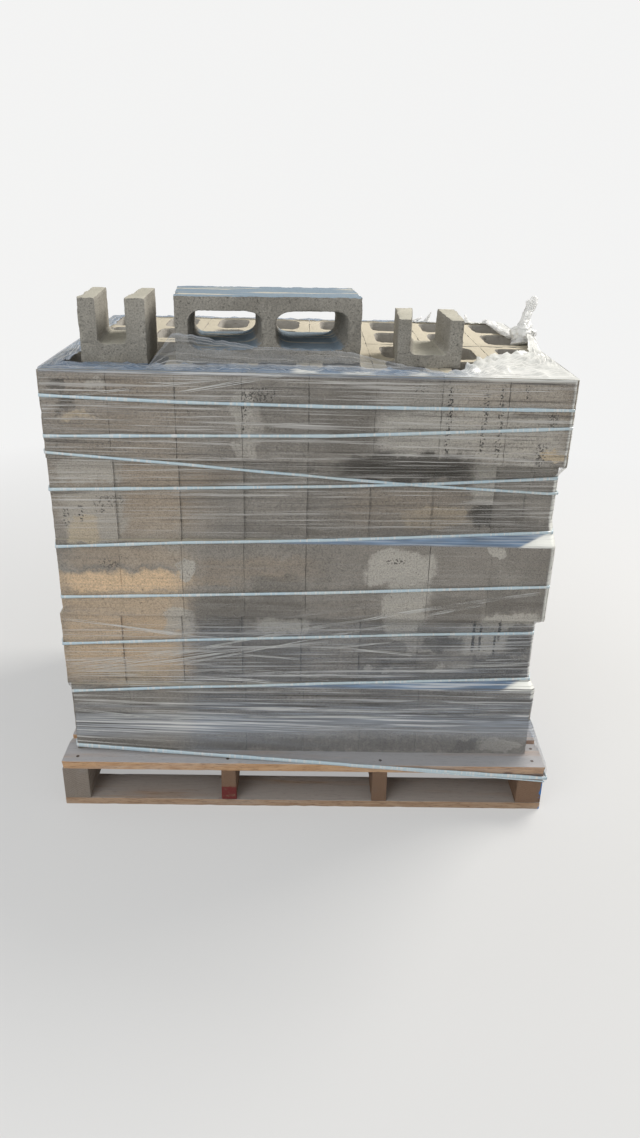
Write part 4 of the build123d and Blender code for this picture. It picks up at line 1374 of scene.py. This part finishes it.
def gathered(name, path, widths, depths, seed, turns):
    """Film gathered into a wisp: a crushed tube along a path, given its half widths and half depths."""
    count = SPAN_RINGS * (len(path) - 1)
    rows = []
    for index in range(count + 1):
        at = index / SPAN_RINGS
        span = min(int(at), len(path) - 2)
        share = at - span
        share = share * share * (3 - 2 * share)
        middle = blend(Vector(path[span]), Vector(path[span + 1]), at - span)
        forward = (Vector(path[span + 1]) - Vector(path[span])).normalized()
        across = (Vector((1, 0, 0)) - forward * forward.x).normalized()
        deep = forward.cross(across)
        width = blend(widths[span], widths[span + 1], share)
        depth = blend(depths[span], depths[span + 1], share)
        row = []
        for step in range(RING_POINTS):
            angle = 2 * math.pi * step / RING_POINTS
            creases = 1 + 0.50 * waver(math.cos(angle) * 2.6, math.sin(angle) * 2.6, index * 0.14 + seed)
            creases += 0.26 * waver(math.cos(angle) * 5, math.sin(angle) * 5, index * 0.24 + seed)
            swing = angle + turns * index / count
            away = (across * math.cos(swing) * width + deep * math.sin(swing) * depth) * creases
            uneven = waver(math.cos(angle) * 3, math.sin(angle) * 3, index * 0.3 + seed + 9)
            row.append(middle + away + forward * 0.18 * width * uneven)
        rows.append(row)
    tip = sum(rows[-1], Vector()) / len(rows[-1])
    rows.append([blend(p, tip, 0.92) for p in rows[-1]])
    return film_mesh(name, rows, closed=True, haze_at=gathered_haze, material=gathered_film, capped=True)


gathered("film_tail",
         [(0.541, 0.036, TOP_Z + 0.002), (0.540, 0.042, 1.095), (0.537, 0.050, 1.109), (0.541, 0.058, 1.122),
          (0.545, 0.066, 1.138), (0.551, 0.076, 1.156), (0.560, 0.084, 1.174), (0.570, 0.090, 1.192)],
         widths=[0.027, 0.026, 0.028, 0.016, 0.011, 0.010, 0.013, 0.006],
         depths=[0.018, 0.016, 0.014, 0.012, 0.009, 0.008, 0.008, 0.004], seed=5.0, turns=1.2)
gathered("film_ridge",
         [(0.506, 0.384, TOP_Z + 0.008), (0.510, 0.330, TOP_Z + 0.010), (0.514, 0.212, TOP_Z + 0.010),
          (0.520, 0.150, TOP_Z + 0.011), (0.526, 0.097, TOP_Z + 0.013), (0.531, 0.055, TOP_Z + 0.017)],
         widths=[0.008, 0.012, 0.011, 0.013, 0.014, 0.018],
         depths=[0.005, 0.007, 0.006, 0.007, 0.008, 0.011], seed=11.0, turns=0.4)
WISPS = ((0.335, 0.030, 0.012), (0.452, 0.024, -0.006), (0.300, 0.014, 0.02))
for index, (x, height, lean) in enumerate(WISPS):
    gathered(f"film_wisp_{index + 1}",
             [(x, 0.385, TOP_Z + 0.001), (x + lean * 0.3, 0.387, TOP_Z + height * 0.5),
              (x + lean, 0.388, TOP_Z + height)],
             widths=[0.010, 0.004, 0.0015], depths=[0.004, 0.003, 0.0012], seed=20.0 + index * 3, turns=0.8)

# Floor and light: a pale sweep of paper under one large soft lamp, high at the back
# right, with a weaker one in front, so the tops are bright and the front is in shade.
def seen_share(add):
    """1 where the camera looks, straight on, mirrored or through film, and 0 where only light goes."""
    path = add("ShaderNodeLightPath").outputs
    seen = most(add, path["Is Camera Ray"], path["Is Glossy Ray"])
    return most(add, seen, path["Is Transmission Ray"])


FLOOR_FRONT, FLOOR_BEND, BEND_RADIUS, FLOOR_TOP, HALF_FLOOR, BEND_STEPS = -16.0, 5.0, 4.0, 16.0, 18.0, 12
floor_profile = [(FLOOR_FRONT, 0.0), (FLOOR_BEND, 0.0)]
for step in range(1, BEND_STEPS + 1):
    angle = math.radians(90 * step / BEND_STEPS)
    floor_profile.append((FLOOR_BEND + BEND_RADIUS * math.sin(angle),
                          BEND_RADIUS - BEND_RADIUS * math.cos(angle)))
floor_profile.append((FLOOR_BEND + BEND_RADIUS, FLOOR_TOP))
floor_points = [(x, y, z) for y, z in floor_profile for x in (-HALF_FLOOR, HALF_FLOOR)]
floor_faces = [(2 * i, 2 * i + 1, 2 * i + 3, 2 * i + 2) for i in range(len(floor_profile) - 1)]
floor_mesh = bpy.data.meshes.new("floor")
floor_mesh.from_pydata(floor_points, [], floor_faces)
floor_mesh.polygons.foreach_set("use_smooth", [True] * len(floor_mesh.polygons))
floor = new_piece("floor", floor_mesh)
floor_material, paper_tree, paper_add, paper = new_material("floor_paper")
paper.inputs["Base Color"].default_value = (0.56, 0.56, 0.555, 1)
paper.inputs["Roughness"].default_value = 0.95
paper_seen = seen_share(paper_add)
paper_place = object_place(paper_add)
paper_far = paper_add("ShaderNodeVectorMath", {0: paper_place}, operation="LENGTH").outputs["Value"]
paper_white = paper_add("ShaderNodeMapRange", {"Value": paper_far, "From Min": 1.0, "From Max": 3.2,
                                               "To Min": 0.42, "To Max": 1.0}).outputs[0]
paper_glow = paper_add("ShaderNodeEmission", {"Color": (0.90, 0.90, 0.895, 1)})
paper_mix = paper_add("ShaderNodeMixShader", {0: times(paper_add, paper_seen, paper_white),
                                              1: paper.outputs[0], 2: paper_glow.outputs[0]})
paper_tree.links.new(paper_mix.outputs[0], paper_tree.nodes["Material Output"].inputs["Surface"])
floor_mesh.materials.append(floor_material)


def area_lamp(name, place, target, size, power, colour):
    """A square soft lamp aimed at a point."""
    data = bpy.data.lights.new(name, "AREA")
    data.size = size
    data.energy = power
    data.color = colour
    lamp = new_piece(name, data)
    lamp.location = place
    lamp.rotation_euler = (Vector(target) - Vector(place)).to_track_quat("-Z", "Y").to_euler()


area_lamp("key_lamp", place=(2.6, 1.6, 3.6), target=(0, 0, 0.9), size=1.8, power=195,
          colour=(1.0, 0.96, 0.90))
area_lamp("fill_lamp", place=(-2.2, -3.4, 2.4), target=(0, 0, 0.6), size=2.6, power=55,
          colour=(0.96, 0.98, 1.0))
world = bpy.data.worlds.new("studio")
bpy.context.scene.world = world
world.use_nodes = True
world_add = node_maker(world.node_tree)
background = world.node_tree.nodes["Background"]
strength = world_add("ShaderNodeMapRange", {"Value": seen_share(world_add), "To Min": 0.55, "To Max": 1.0})
world.node_tree.links.new(strength.outputs[0], background.inputs["Strength"])
background.inputs["Color"].default_value = (1, 1, 1, 1)
bpy.context.scene.view_settings.view_transform = "Standard"
